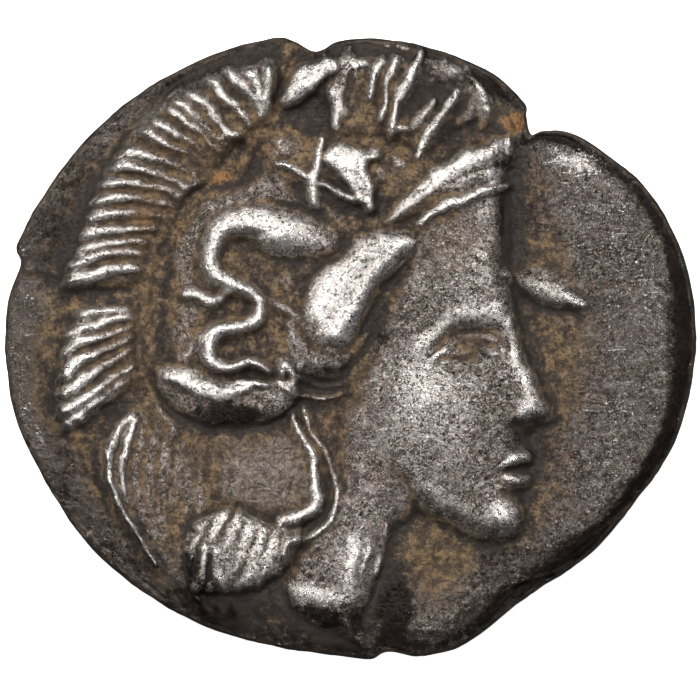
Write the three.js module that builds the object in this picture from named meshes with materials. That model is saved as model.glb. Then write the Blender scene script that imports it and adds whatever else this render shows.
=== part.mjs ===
// A small struck silver coin, lying with its obverse up: one solid, worked out as two carved faces and an edge.
//
// +X is the right of the obverse, +Y its top and +Z up. The origin is under the middle of the flan, on the
// surface that the coin lies on. Lengths are in millimetres. The carving is laid out on a grid of its own,
// 100 units across and a little wider than the flan, and its heights are shares of RELIEF_HEIGHT.
import * as THREE from "three";

// Driving dimensions
const FLAN_WIDTH = 12.4; // across the flan, along X
const FLAN_THICKNESS = 1.0; // from the reverse rim to the obverse field
const RELIEF_HEIGHT = 0.66; // from the obverse field to the top of the head
const REVERSE_SINK = 0.17; // depth of the reverse field under its rim
const REVERSE_RELIEF = 0.14; // height of the bull over the reverse field
const LEFT_FALL = 0.3; // how far the obverse field sinks to the edge on the left
const RIGHT_FALL = 0.16; // and on the right
const LEFT_FALL_WIDTH = 1.0; // over what breadth it does so on the left
const RIGHT_FALL_WIDTH = 0.34; // and on the right
const EDGE_ROUND = 0.14; // how far the edge bulges past the rims of the two faces
const FINEST_CELL = 0.1; // breadth of the smallest cells that the faces are carved in, at most 1.4 times this
const FACE_TRIANGLES = 7900; // the most that the carved obverse may take
const BACK_TRIANGLES = 1300; // the most that the plainer reverse may take

// The flan's outline, counter-clockwise from the right. Two of its points make the step at the upper right,
// and the closer ones are the splits in the rim at the top, the left and the bottom.
const OUTLINE = [
  [49.6, 0], [48.1, 12.4], [43, 22.6], [36, 28.6], [31.5, 31.2], [27.6, 31.4], [26, 30.9], [25.3, 33.6],
  [25, 35.4], [20.7, 39.5], [12.7, 43], [4.8, 44.6], [-1.4, 44.3], [-3.8, 43.1], [-5.4, 42.9], [-8, 44.3],
  [-11.4, 44.7], [-20, 42.2], [-30, 37], [-38, 30], [-44, 22.2], [-47.4, 16], [-47.8, 14.2], [-47.2, 12.2],
  [-49, 7], [-49.4, -1], [-47.3, -11.5], [-40, -24.8], [-32, -33], [-22, -39.1], [-11, -42.5], [-1, -43.9],
  [3, -44.3], [5.4, -43.3], [10.4, -43.9], [16.6, -42.1], [25, -35.7], [34, -29.6], [40.5, -22.3],
  [46.6, -13.1],
];

// Points on a smooth curve through the given ones, which may carry a third number, a half-width.
function smooth(points, closed = false, steps = 5) {
  const last = points.length - 1;
  const at = (i) => points[closed ? (i + points.length) % points.length : Math.min(Math.max(i, 0), last)];
  const spans = closed ? points.length : points.length - 1;
  const made = [];
  for (let i = 0; i < spans; i++) {
    for (let s = 0; s < steps; s++) {
      const t = s / steps;
      made.push(at(i).map((b, k) => {
        const [a, c, d] = [at(i - 1)[k], at(i + 1)[k], at(i + 2)[k]];
        return b + 0.5 * t * (c - a + t * (2 * a - 5 * b + 4 * c - d + t * (3 * (b - c) + d - a)));
      }));
    }
  }
  if (!closed) made.push(at(spans));
  return made;
}

// The share along the span a to b of the point nearest to x, y, from 0 to 1.
function foot(a, b, x, y) {
  const [dx, dy] = [b[0] - a[0], b[1] - a[1]];
  return Math.min(Math.max(((x - a[0]) * dx + (y - a[1]) * dy) / (dx * dx + dy * dy || 1), 0), 1);
}

const across = (line) => Math.max(...line.map((p) => p[0])) - Math.min(...line.map((p) => p[0]));
const UNIT = FLAN_WIDTH / across(smooth(OUTLINE, true, 8)); // millimetres in one unit of the carving's grid

const bounds = (line, grow) => [
  Math.min(...line.map((p) => p[0])) - grow,
  Math.max(...line.map((p) => p[0])) + grow,
  Math.min(...line.map((p) => p[1])) - grow,
  Math.max(...line.map((p) => p[1])) + grow,
];
const outside = (box, x, y) => x < box[0] || x > box[1] || y < box[2] || y > box[3];

// Sections across a form: 1 on its middle line, 0 at its border. worn has sloping sides, soft fades out.
const worn = (r) => Math.cos((Math.min(r, 1) * Math.PI) / 2);
const soft = (r) => Math.max(0, 1 - r * r) ** 2;

// A stroke along points [x, y, half-width], as a function of x and y that gives its height.
// Its sides slope, so that it reaches a little past its half-width.
const SLOPE_REACH = 0.45;
function stroke(points, height, section = worn) {
  const line = smooth(points.map(([x, y, half]) => [x, y, half + SLOPE_REACH]));
  const box = bounds(line, Math.max(...line.map((p) => p[2])));
  return (x, y) => {
    if (outside(box, x, y)) return 0;
    let nearest = 1;
    for (let i = 1; i < line.length; i++) {
      const [a, b] = [line[i - 1], line[i]];
      const t = foot(a, b, x, y);
      const away = Math.hypot(x - a[0] - t * (b[0] - a[0]), y - a[1] - t * (b[1] - a[1]));
      nearest = Math.min(nearest, away / Math.max(a[2] + t * (b[2] - a[2]), 1e-3));
    }
    return height * section(nearest);
  };
}

// A plateau inside a closed outline, which rises from it over the breadth of its shoulder.
function plateau(points, height, shoulder) {
  const line = smooth(points, true, 4);
  const box = bounds(line, 0);
  return (x, y) => {
    if (outside(box, x, y)) return 0;
    let inside = false;
    let depth = Infinity;
    line.forEach((b, i) => {
      const a = line[(i || line.length) - 1];
      if (a[1] > y !== b[1] > y && x < a[0] + ((y - a[1]) * (b[0] - a[0])) / (b[1] - a[1])) inside = !inside;
      const t = foot(a, b, x, y);
      depth = Math.min(depth, Math.hypot(x - a[0] - t * (b[0] - a[0]), y - a[1] - t * (b[1] - a[1])));
    });
    return inside ? height * worn(1 - Math.min(depth / shoulder, 1)) : 0;
  };
}

// A round swelling about a centre, with its own reach along X and Y, turned by an angle in degrees.
function swell(cx, cy, reachX, reachY, height, turn = 0) {
  const [c, s] = [Math.cos(THREE.MathUtils.degToRad(turn)), Math.sin(THREE.MathUtils.degToRad(turn))];
  return (x, y) => {
    const [dx, dy] = [x - cx, y - cy];
    return height * soft(Math.hypot((dx * c + dy * s) / reachX, (dy * c - dx * s) / reachY));
  };
}

const highest = (shapes) => (x, y) => shapes.reduce((h, shape) => Math.max(h, shape(x, y)), 0);
const total = (shapes) => (x, y) => shapes.reduce((h, shape) => h + shape(x, y), 0);

// Hair that is combed in strands: between each guide and the next, so many strands are worked out.
// A guide is a line of points, and its strands are thin at both ends.
function combed(guides, between, halfWidth, height) {
  const strands = [];
  guides.slice(1).forEach((next, i) => {
    const many = between[i];
    for (let n = i ? 1 : 0; n <= many; n++) {
      const t = n / many;
      strands.push(guides[i].map((p, k) => {
        const end = k === 0 || k === next.length - 1;
        return [p[0] + t * (next[k][0] - p[0]), p[1] + t * (next[k][1] - p[1]), halfWidth * (end ? 0.6 : 1)];
      }));
    }
  });
  return highest(strands.map((s) => stroke(s, height)));
}

// The helmet's crest: a plate that carries three tufts of combed horsehair behind and short tufts in front.
const crestPlates = highest([
  plateau([[-10.6, 41.2], [-16.5, 41.2], [-21.8, 39.6], [-28.8, 35], [-32.2, 30.6], [-35.4, 25],
    [-37.8, 20.4],
    [-39.2, 15.8], [-41.4, 8.6], [-36, 8.8], [-30.2, 9.6], [-28.2, 14.6], [-25, 20.6], [-20.6, 24],
      [-14.6, 30.6],
    [-10.8, 32.6]], 0.26, 1.8),
  plateau([[-39.6, 4.6], [-36, 6.4], [-31, 6.4], [-30.4, 0], [-30.6, -4], [-34, -6.4], [-37, -8.8],
    [-40.8, -11.2],
    [-42.2, -7], [-41.6, -2], [-40.6, 1.4]], 0.26, 1.8),
  plateau([[-30.6, -6.6], [-34.4, -11], [-36.4, -15], [-35.4, -19], [-32.4, -23.6], [-28.8, -29.6],
    [-26.6, -33.4],
    [-24.6, -27], [-23.4, -20], [-24.4, -13], [-27, -9]], 0.26, 1.8),
  plateau([[-9.6, 34.8], [-8.6, 40.2], [-4, 42.6], [3, 42.6], [9, 42.6], [14.6, 40.4], [18, 39], [20, 35.4],
    [19.4, 33], [15.6, 31.6], [10.6, 27.2], [6, 30.2], [-2, 30.6], [-3.4, 35], [-6, 36.4]], 0.2, 1.8),
]);
const crestHair = highest([
  combed([
    [[-11.8, 40.4], [-11.6, 36.6], [-11.2, 33]],
    [[-15.2, 40.2], [-13.8, 36.4], [-11.8, 33]],
    [[-20.2, 39.2], [-17.6, 35.2], [-14.6, 31.4]],
    [[-26.4, 36], [-22.2, 32.4], [-17.8, 28.8]],
    [[-31, 31.2], [-26, 29], [-20.2, 26.2]],
    [[-34.6, 26.2], [-29.6, 25.8], [-23.4, 23.8]],
    [[-37.2, 21.4], [-32.2, 21.6], [-26, 20.6]],
    [[-38.6, 16.4], [-33.6, 17.4], [-27.6, 17]],
    [[-40.8, 9.4], [-35.6, 11], [-30.4, 11]],
  ], [1, 2, 3, 3, 2, 2, 2, 3], 0.5, 0.36),
  combed([
    [[-39.4, 4], [-36.4, 5], [-31.4, 5.8]],
    [[-40.6, 0], [-36.4, 1.4], [-31, 3.8]],
    [[-41, -3.2], [-36.6, -0.6], [-31.2, 1.4]],
    [[-41.8, -5.6], [-37, -3.2], [-31.2, -0.4]],
    [[-40.4, -10.2], [-36.4, -7.4], [-31.4, -3.4]],
  ], [1, 1, 1, 2], 0.5, 0.34),
  combed([
    [[-31, -8], [-34.6, -15], [-33.6, -20.4], [-29.4, -28]],
    [[-29.6, -8.6], [-32.4, -15], [-32.6, -20], [-28.6, -27.6]],
    [[-27.2, -10.4], [-28, -16], [-29, -21], [-27, -28]],
    [[-25.2, -12.6], [-25.2, -17], [-25.8, -22], [-25.8, -29]],
  ], [1, 1, 1], 0.45, 0.32),
]);
const frontHair = highest([
  plateau([[-9.5, 34.9], [-8.9, 37.6], [-7.9, 39.7], [-6.4, 41], [-4.6, 41.9], [-3, 42.1], [-1.8, 41.4],
    [-1.8, 40.1], [-3, 39.3], [-4.6, 38.4], [-6, 37.2], [-7.4, 35.8], [-8.6, 34.8]], 0.42, 1.5),
  stroke([[-1.4, 40.6, 0.8], [-0.2, 42.4, 1.2], [0.4, 40.8, 1.2], [2, 40.6, 0.8]], 0.24),
  stroke([[-2.1, 31, 0.7], [-2.2, 33, 0.9], [-1.8, 35.6, 1.3], [-1.2, 37.6, 1.4], [-0.4, 39.4, 1.2]], 0.36),
  stroke([[1.9, 41, 0.7], [1.5, 39, 0.8], [0.8, 36.4, 0.3]], 0.28),
  stroke([[4.2, 41, 0.9], [3.4, 39.4, 0.7], [2.8, 37.4, 0.5], [2.5, 35.8, 0.3]], 0.3),
  stroke([[6.3, 40.8, 0.9], [5.8, 39, 0.8], [5.1, 36.6, 0.5], [4.6, 33, 0.3]], 0.32),
  stroke([[9.8, 42.2, 0.5], [8.9, 40, 0.7], [7.6, 37.6, 0.75], [6.6, 35, 0.75], [6, 30.6, 0.5]], 0.36),
  stroke([[12.4, 36.2, 0.3], [11, 34.4, 0.6], [9.2, 31.8, 0.4]], 0.26),
  stroke([[15.2, 36.4, 0.3], [14, 34.4, 0.6], [12.4, 32.4, 0.8], [10.9, 30.4, 0.9], [9.6, 27.8, 0.3]],
    0.34),
  stroke([[5, 43.7, 0.5], [8, 43, 0.6], [13.2, 40.6, 0.6], [17.2, 39.3, 0.6], [19.6, 35.8, 0.6],
    [19.4, 33, 0.4]],
    0.2),
]);
// The ridge that carries the crest, along the back of the bowl.
const crestRidge = highest([
  stroke([[-18, 31, 0.4], [-16.4, 30.5, 0.5], [-14.5, 30.6, 0.6], [-14.3, 29.4, 0.5], [-15.5, 26, 0.3]],
    0.24),
  stroke([[-20.8, 24.2, 0.3], [-23.8, 22.2, 0.5], [-25.6, 18.6, 0.5], [-28.4, 13.6, 0.4],
    [-29.5, 10.4, 0.7],
    [-29.3, 6, 0.5], [-29.8, 1, 0.5], [-29.4, -3, 0.4], [-27.6, -7.4, 0.5], [-25.2, -11.4, 0.3]], 0.22),
]);

// The bowl of the helmet, and the rim of its neck guard.
const bowl = plateau([[-26.6, 14], [-23.4, 19.6], [-19.4, 23], [-14, 25.6], [-11.4, 31.4], [-4, 31.4],
  [4, 29.6],
  [12, 29.4], [20.6, 31.2], [22, 27], [14, 19], [12, 10], [4, 0], [-4, -5], [-12, -5.6], [-16, -7],
    [-23, -7.2],
  [-26.6, -3.4], [-27.4, 5]], 0.42, 4.4);
const guardRoll = plateau([[-27.4, -2.4], [-24, -1.4], [-19, -3.4], [-13, -3.6], [-9.6, -3.2], [-7.2, -4.6],
  [-7.6, -7.4], [-10, -9.8], [-14.6, -11.4], [-19.6, -11.2], [-24, -9.4], [-27.2, -6]], 0.56, 3.8);
const guardRim = highest([
  stroke([[-25.4, -4.6, 0.9], [-23.4, -4.4, 1.4], [-21, -5.1, 1.5], [-18.5, -5.7, 1.4],
    [-15.6, -5.4, 0.8]], 0.26),
  stroke([[-15.8, -4.7, 0.4], [-14, -4.6, 0.5], [-12, -4.9, 0.3]], 0.22),
]);

// The sea creature on the bowl: its coiled tail, a fin, and the human half with its arms.
const creature = highest([
  stroke([[-2.6, 15.2, 1.1], [-4, 15.6, 2], [-5.8, 16, 2.6], [-8, 16.5, 2.9], [-10.5, 16.9, 3],
    [-13, 17.9, 2.5],
    [-16, 18.1, 2.1], [-18.6, 16.8, 1.8], [-19.7, 14.4, 1.6], [-19.7, 12, 1.6], [-18.9, 10.2, 1.5],
    [-17, 9.4, 1.2], [-15, 8.6, 1], [-13.4, 7.5, 0.8], [-12.7, 6.2, 0.8], [-13, 4.6, 0.9],
      [-14.4, 3.5, 0.9],
    [-16.5, 3, 0.9], [-18.4, 2.9, 0.9], [-19.9, 1.8, 1.1], [-20.3, 0, 1], [-19.9, -1.6, 0.9],
    [-18.5, -2.6, 0.7], [-16.4, -2.5, 0.6], [-14.4, -1.9, 0.6], [-12.8, -2.3, 0.5], [-11.4, -3.3, 0.3]],
      0.46),
  stroke([[-23.9, 7.9, 0.3], [-22, 8, 0.9], [-20.6, 7.1, 1], [-19.2, 6.9, 0.8], [-17.6, 7.9, 0.3]], 0.28),
  stroke([[-12.6, 7.5, 0.3], [-10.8, 6.8, 0.35], [-9.2, 5.6, 0.35], [-7, 4.5, 0.3]], 0.16),
  stroke([[-11.2, 26.4, 0.4], [-9.2, 25.9, 0.6], [-7.6, 25, 0.6], [-5.8, 24.2, 0.6]], 0.26),
  stroke([[-3.6, 30, 0.4], [-4.4, 28, 0.55], [-4.6, 26, 0.85], [-4.9, 24, 1.1], [-5, 22, 1.05],
    [-5, 20.8, 0.7]], 0.34),
  plateau([[-3.2, 27.3], [-2.2, 29], [-0.8, 29.6], [0.6, 29.1], [1.9, 28.3], [2.7, 28.2], [3.4, 29],
    [4.1, 28.4],
    [3.4, 27.4], [1.6, 26.8], [0, 26.2], [-1, 25.5]], 0.4, 1.2),
  plateau([[-1, 26], [1, 27], [2.9, 26.6], [2.6, 24.6], [3.1, 22.6], [2.6, 20.9], [1, 21], [0.2, 22.2],
    [0.9, 22.9]], 0.3, 1.3),
  stroke([[-3.7, 23.8, 0.4], [-1.9, 23, 0.6], [0, 21.9, 0.6], [1.4, 21.4, 0.5]], 0.28),
  stroke([[2.6, 21.2, 0.4], [2.8, 19.6, 0.3]], 0.2),
  swell(7, 27, 1.5, 1.5, 0.12),
]);

// The visor, in two blades, and the thick lobe below it that covers the temple.
const visor = highest([
  plateau([[4.8, 18], [6.4, 21], [8.4, 23.3], [12.4, 26.4], [17, 29], [22.8, 31], [24, 29.4], [22.4, 26.4],
    [16.4, 23.4], [11.6, 20.8], [8.6, 19]], 0.4, 1.7),
  stroke([[10.6, 19.4, 0.4], [13, 20.7, 0.7], [16, 22.1, 0.75], [19.4, 23.1, 0.6], [23, 24, 0.3]], 0.32),
]);
const visorRidge = stroke([[5.2, 18.5, 0.4], [7.6, 21.8, 1], [11.6, 24.9, 1.2], [16.6, 27.8, 1.1],
  [22.6, 30.2, 0.6]],
  0.18);
const templeLobe = plateau([[-6.9, 4.8], [-6, 8.6], [-5.1, 11.2], [-3.8, 12.2], [-1.2, 13.4], [1, 16.2],
  [3.4, 17.3], [6, 17.7], [8.4, 17], [10.3, 16], [9.6, 14.8], [6.8, 12.2], [4.6, 9.8], [2.4, 7.4], [1, 4.4],
  [0.1, 1.8], [-1.2, 0.5], [-2.8, 0.2], [-4.2, 0.8], [-5.6, 2.6]], 0.56, 3.2);
const templeHair = highest([
  stroke([[-8.4, 3.6, 0.6], [-7, 0.6, 1.2], [-4.4, -1.4, 1.5], [-1.4, -1.8, 1.5], [1, -0.4, 1.2],
    [2.4, 2, 0.6]],
    0.28),
  stroke([[-6.4, -2.4, 0.4], [-4, -3.5, 0.5], [-1.2, -3.8, 0.5], [0.8, -2.9, 0.4]], 0.14),
]);
const ear = highest([
  swell(-8.4, -2.8, 1.7, 2, 0.26),
  stroke([[-9.8, -1.4, 0.4], [-9, -3.8, 0.55], [-6.6, -5.9, 0.5], [-4, -7, 0.5], [-1.8, -6.6, 0.3]], 0.2),
]);

// The neck guard's two piped edges, the smooth nape between them and the crest, and the rolled hair below.
const nape = plateau([[-21, -9.6], [-12, -9.8], [-7.6, -10.6], [-4.4, -16.4], [-3.2, -22], [-8, -25.4],
  [-17, -24],
  [-21, -20]], 0.3, 3.4);
const piping = highest([
  stroke([[-6.5, -8.4, 0.3], [-5.6, -11.4, 0.45], [-3.8, -14.8, 0.5], [-2.3, -18, 0.5], [-1.9, -21.6, 0.5],
    [-2.7, -24.2, 0.55], [-4.4, -26.1, 0.6], [-8.6, -26.8, 0.5]], 0.28),
  stroke([[-8.2, -9.6, 0.3], [-7.2, -12.2, 0.45], [-5.8, -15.6, 0.65], [-4.6, -19.4, 0.8],
    [-4.4, -22, 0.85],
    [-6.2, -23.5, 0.75], [-9.4, -24.5, 0.6]], 0.34),
]);
const roll = plateau([[-8.9, -24.6], [-14, -23.4], [-17, -22.5], [-19.6, -23.6], [-22.6, -25.2],
  [-24, -27.6],
  [-22.8, -30.8], [-19, -32.7], [-15, -33], [-11.2, -32], [-8.8, -30.2], [-7.9, -27.4]], 0.62, 4.2);
const rollTwists = highest([
  stroke([[-16.6, -22.6, 0.4], [-18, -24.8, 0.6], [-19.6, -27.6, 0.5], [-20.2, -30, 0.3]], 0.26),
  stroke([[-14.4, -23.8, 0.4], [-15.4, -25.8, 0.5], [-16.6, -28.6, 0.4], [-17.4, -30.6, 0.3]], 0.2),
  stroke([[-11.8, -25.2, 0.4], [-12.2, -27.2, 0.4], [-13, -29.8, 0.3]], 0.18),
  stroke([[-9.7, -26.4, 0.3], [-10.2, -28.4, 0.4], [-10.9, -30.4, 0.3]], 0.18),
  stroke([[-20, -24.6, 0.3], [-21.2, -26.6, 0.4], [-21.8, -28.8, 0.3]], 0.2),
]);
const hangingLocks = combed([
  [[-23.2, -27], [-23.4, -31], [-22.6, -35.6]],
  [[-20, -28.6], [-20, -33], [-18.4, -37]],
], [1], 0.6, 0.22);

// The neck, broad at its cut-off foot, with the ends of some locks on it.
const neck = plateau([[-6, -25], [-9.6, -32], [-9.2, -36], [-5, -39.6], [0, -42], [3.4, -42.4], [4, -36],
  [4.8, -31], [5.6, -27], [9, -24], [14, -18], [10, -8], [0, -6], [-2, -12], [-2.6, -20]], 0.5, 4.4);
const neckLocks = highest([
  stroke([[-1.5, -26.6, 0.4], [-1.2, -30, 0.7], [-1.4, -33.4, 0.6]], 0.12, soft),
  stroke([[0.4, -26.8, 0.4], [0.2, -30, 0.7], [0, -33.8, 0.6]], 0.12, soft),
  stroke([[2.6, -27.4, 0.4], [2.2, -30, 0.7], [1.8, -32.4, 0.6]], 0.12, soft),
  stroke([[4.9, -25.6, 0.4], [4.5, -28.4, 0.6], [3.6, -31, 0.5]], 0.16, soft),
  stroke([[-8.8, -34.4, 0.6], [-6, -36.2, 0.8], [-2.6, -37.2, 0.8], [0.4, -36.2, 0.5]], 0.14, soft),
]);

// The face is a plain one in profile, on the canon of three equal parts: from the hairline to the brow, from
// there to the base of the nose, and from there to the chin. Its places are shares of its own height.
const HAIRLINE = 20;
const CHIN = -28;
const FACE_FRONT = 21.6; // where the upright line of the face stands
const FACE_HEIGHT = HAIRLINE - CHIN;
const onFace = (ahead, down) => [FACE_FRONT + ahead * FACE_HEIGHT, HAIRLINE - down * FACE_HEIGHT];
const faceStroke = (places, height, section) =>
  stroke(places.map(([ahead, down, half]) => [...onFace(ahead, down), half * FACE_HEIGHT]), height, section);
const faceSwell = (ahead, down, reachX, reachY, height, turn) =>
  swell(...onFace(ahead, down), reachX * FACE_HEIGHT, reachY * FACE_HEIGHT, height, turn);
const headForm = plateau([
  [-0.02, -0.075], [0.036, -0.075], [0.034, 0.06], [0.038, 0.2], [0.052, 0.31], [0.08, 0.4],
    [0.124, 0.52], [0.158, 0.605],
  [0.15, 0.638], [0.104, 0.658], [0.085, 0.685], [0.106, 0.72], [0.098, 0.752], [0.078, 0.768],
    [0.094, 0.792],
  [0.084, 0.824], [0.06, 0.85], [0.074, 0.9], [0.064, 0.955], [0.01, 0.995], [-0.07, 0.985], [-0.17, 0.945],
  [-0.27, 0.88], [-0.37, 0.78], [-0.44, 0.66], [-0.47, 0.52], [-0.44, 0.42], [-0.36, 0.22],
  [-0.26, 0.05], [-0.13, -0.02],
].map(([ahead, down]) => onFace(ahead, down)), 0.6, 4.2);
const faceSwells = total([
  faceSwell(-0.2, 0.62, 0.26, 0.26, 0.26), // cheek
  faceSwell(-0.1, 0.2, 0.16, 0.16, 0.14), // forehead
  faceSwell(0.02, 0.9, 0.1, 0.085, 0.16), // chin
  faceSwell(0.086, 0.6, 0.065, 0.062, 0.14), // wing of the nose
  faceStroke([[0.03, 0.36, 0.05], [0.066, 0.46, 0.05], [0.112, 0.58, 0.05]],
    0.12, soft), // bridge of the nose
  faceStroke([[-0.2, 0.4, 0.03], [-0.12, 0.325, 0.04], [-0.03, 0.3, 0.045], [0.03, 0.32, 0.03]],
    0.16, soft), // brow
]);
const faceHollows = total([
  faceSwell(-0.085, 0.41, 0.14, 0.085, 0.34, 10), // eye socket
  faceSwell(0.0, 0.78, 0.05, 0.06, 0.12), // corner of the mouth
  faceSwell(0.02, 0.845, 0.08, 0.025, 0.1), // fold over the chin
]);
const eye = highest([
  faceStroke([[-0.16, 0.425, 0.012], [-0.1, 0.42, 0.034], [-0.05, 0.424, 0.03], [-0.02, 0.43, 0.01]],
    0.2), // ball
  faceStroke([[-0.18, 0.43, 0.01], [-0.11, 0.387, 0.016], [-0.05, 0.388, 0.016], [0, 0.42, 0.01]],
    0.14), // upper lid
  faceStroke([[-0.16, 0.446, 0.008], [-0.1, 0.462, 0.012], [-0.03, 0.455, 0.01]], 0.09), // lower lid
]);
const lips = highest([
  faceStroke([[0.0, 0.755, 0.012], [0.04, 0.738, 0.022], [0.09, 0.736, 0.024]], 0.16), // upper
  faceStroke([[0.01, 0.785, 0.01], [0.04, 0.8, 0.022], [0.08, 0.8, 0.022]], 0.15), // lower
]);

// The parts of the field that a clumsy blow left: a low bar in front of the brow, and a sunken corner.
const strikeFlaws = highest([
  stroke([[29.4, 9, 0.6], [31.6, 8.2, 1.3], [34.6, 7, 1.3], [37.4, 6.4, 0.5]], 0.2, soft),
  plateau([[26.6, 32], [24.2, 30.6], [23.4, 28.6], [26, 26.4], [29.6, 28], [31, 31]], 0.1, 1.6),
]);
const sunkenCorner = plateau([[20.4, 33], [22.6, 34.4], [27, 35.6], [27.4, 31], [24, 30.6], [22, 31.8]],
  0.4, 0.8);
const rimSplit = stroke([[-5, 45, 1.6], [-8, 41.6, 1.5], [-9.6, 37.6, 1], [-10.6, 33.4, 0.5]], 0.14, soft);

// The height of the obverse carving over the field, as a share of RELIEF_HEIGHT.
function obverse(x, y) {
  const face = headForm(x, y);
  const helmet = bowl(x, y);
  const back = Math.max(neck(x, y), nape(x, y), roll(x, y));
  let h = Math.max(face, helmet, guardRoll(x, y), back, crestPlates(x, y));
  h += crestHair(x, y) + frontHair(x, y) + crestRidge(x, y) + guardRim(x, y) + creature(x, y);
  h += piping(x, y) + hangingLocks(x, y) + neckLocks(x, y) + ear(x, y) + templeHair(x, y) - rollTwists(x, y);
  const near = Math.min(face / 0.3, 1);
  h += near * (faceSwells(x, y) - faceHollows(x, y) + eye(x, y) + lips(x, y));
  h += visor(x, y) + visorRidge(x, y) + strikeFlaws(x, y) - sunkenCorner(x, y) - rimSplit(x, y);
  const lobe = templeLobe(x, y);
  return Math.min(lobe > 0 ? Math.max(h, 0.4 + lobe) : h, 1);
}

// The reverse, seen from its own side: a bull that walks to the right on a line, with a fish below.
const bull = highest([
  stroke([[-15, 1.6, 6.6], [-6, 2, 6.2], [4, 3, 6.6], [12, 4.6, 7.6]], 1),
  stroke([[10, 5, 6.4], [17, 4.4, 5.4], [22, 1.4, 4]], 1),
  stroke([[20.6, 2.4, 3.8], [24, -1.2, 3], [26, -4.4, 2]], 0.9),
  stroke([[23, 4, 1], [26, 6, 0.9], [26.6, 9, 0.5]], 0.9),
  stroke([[-18, -1, 3.8], [-19, -6, 2.4], [-16.6, -10.6, 1.6], [-17.6, -16, 1.3], [-16, -17.4, 1.6]], 0.8),
  stroke([[-12, -2, 3.4], [-9.6, -7.4, 2.2], [-7.4, -11, 1.5], [-8, -16, 1.3], [-6.4, -17.4, 1.6]], 0.7),
  stroke([[9, -1, 3.4], [7.4, -7, 1.8], [9.6, -11.4, 1.4], [8.6, -16, 1.3], [10, -17.4, 1.6]], 0.7),
  stroke([[14, -1, 3.4], [17, -6.4, 1.8], [15.4, -11.4, 1.4], [17, -16, 1.3], [18.6, -17.4, 1.6]], 0.8),
  stroke([[-21, 4, 1], [-24.4, 5.4, 0.8], [-25.4, 0, 0.8], [-24, -6, 1.2]], 0.6),
  stroke([[-27, -19.8, 0.8], [0, -19.8, 0.8], [27, -19.8, 0.8]], 0.5),
  stroke([[-9, -25, 0.5], [-3, -25, 2.6], [4, -25, 2], [8, -25, 0.6], [10, -25, 1.8]], 0.7),
]);
const REVERSE_FIELD = 35; // radius of the sunk field, in units
const REVERSE_SLOPE = 3; // breadth of the slope from the rim into it, in units

// The height of the underside over the surface that the coin lies on.
function underside(x, y) {
  const sink = THREE.MathUtils.smoothstep(REVERSE_FIELD - Math.hypot(x, y), 0, REVERSE_SLOPE);
  return REVERSE_SINK * sink - REVERSE_RELIEF * bull(-x, y) * sink;
}

// The outline's reach from the middle at each angle.
const outlinePoints = smooth(OUTLINE, true, 8).map(([x, y]) => [Math.atan2(y, x), Math.hypot(x, y)]);
outlinePoints.sort((a, b) => a[0] - b[0]);
function reach(angle) {
  const next = outlinePoints.findIndex(([a]) => a > angle);
  const b = outlinePoints[Math.max(next, 0)];
  const a = outlinePoints[(next < 1 ? outlinePoints.length : next) - 1];
  const turn = 2 * Math.PI;
  const span = (b[0] - a[0] + turn) % turn;
  return a[1] + (((angle - a[0] + turn) % turn) / span) * (b[1] - a[1]);
}

// A square of GRID by GRID cells is laid over the flan, with its border along the flan's outline.
// It is halved again and again, so its count of cells is a power of two.
const GRID = 2 ** Math.round(Math.log2(FLAN_WIDTH / FINEST_CELL));
const BORDER_STEP = Math.max(GRID / 32, 1); // cells between the points that each face keeps on its border
const SIDE = GRID + 1;
function place(i, j) {
  const [u, v] = [(2 * i) / GRID - 1, (2 * j) / GRID - 1];
  const [dx, dy] = [u * Math.sqrt(1 - (v * v) / 2), v * Math.sqrt(1 - (u * u) / 2)];
  const angle = Math.atan2(dy, dx);
  const share = Math.hypot(dx, dy);
  const rim = reach(angle) - EDGE_ROUND / UNIT;
  const [x, y] = [share * rim * Math.cos(angle), share * rim * Math.sin(angle)];
  return { x, y, inward: (1 - share) * rim * UNIT, angle };
}

// How far the obverse field has sunk at a point so far inward from the rim.
function fieldFall({ inward, angle }) {
  const left = (1 - Math.cos(angle)) / 2;
  const width = THREE.MathUtils.lerp(RIGHT_FALL_WIDTH, LEFT_FALL_WIDTH, left);
  const fall = THREE.MathUtils.lerp(RIGHT_FALL, LEFT_FALL, left);
  return fall * Math.min(1 - worn(1 - Math.min(inward / width, 1)), 1);
}

// Every grid point of one face, as [x, y, z] in millimetres.
function facePoints(heightAt) {
  const points = [];
  for (let j = 0; j < SIDE; j++)
    for (let i = 0; i < SIDE; i++) {
      const p = place(i, j);
      points.push([p.x * UNIT, p.y * UNIT, heightAt(p)]);
    }
  return points;
}

// The right-angled halves of the square, then the two halves of each of those, and so on down to half cells.
// A triangle is [apex, left, right], and its long side runs from left to right.
const index = (i, j) => j * SIDE + i;
const column = (k) => k % SIDE;
const row = (k) => Math.floor(k / SIDE);
const middleOf = ([, left, right]) => (left + right) / 2;
const halvesOf = (t) => [[middleOf(t), t[0], t[1]], [middleOf(t), t[2], t[0]]];
const corners = [index(0, 0), index(GRID, 0), index(GRID, GRID), index(0, GRID)];
const levels = [[[corners[1], corners[2], corners[0]], [corners[3], corners[0], corners[2]]]];
for (let cells = GRID * GRID; cells > 1; cells /= 2) levels.push(levels.at(-1).flatMap(halvesOf));
const lastCut = levels.length - 2;

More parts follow.
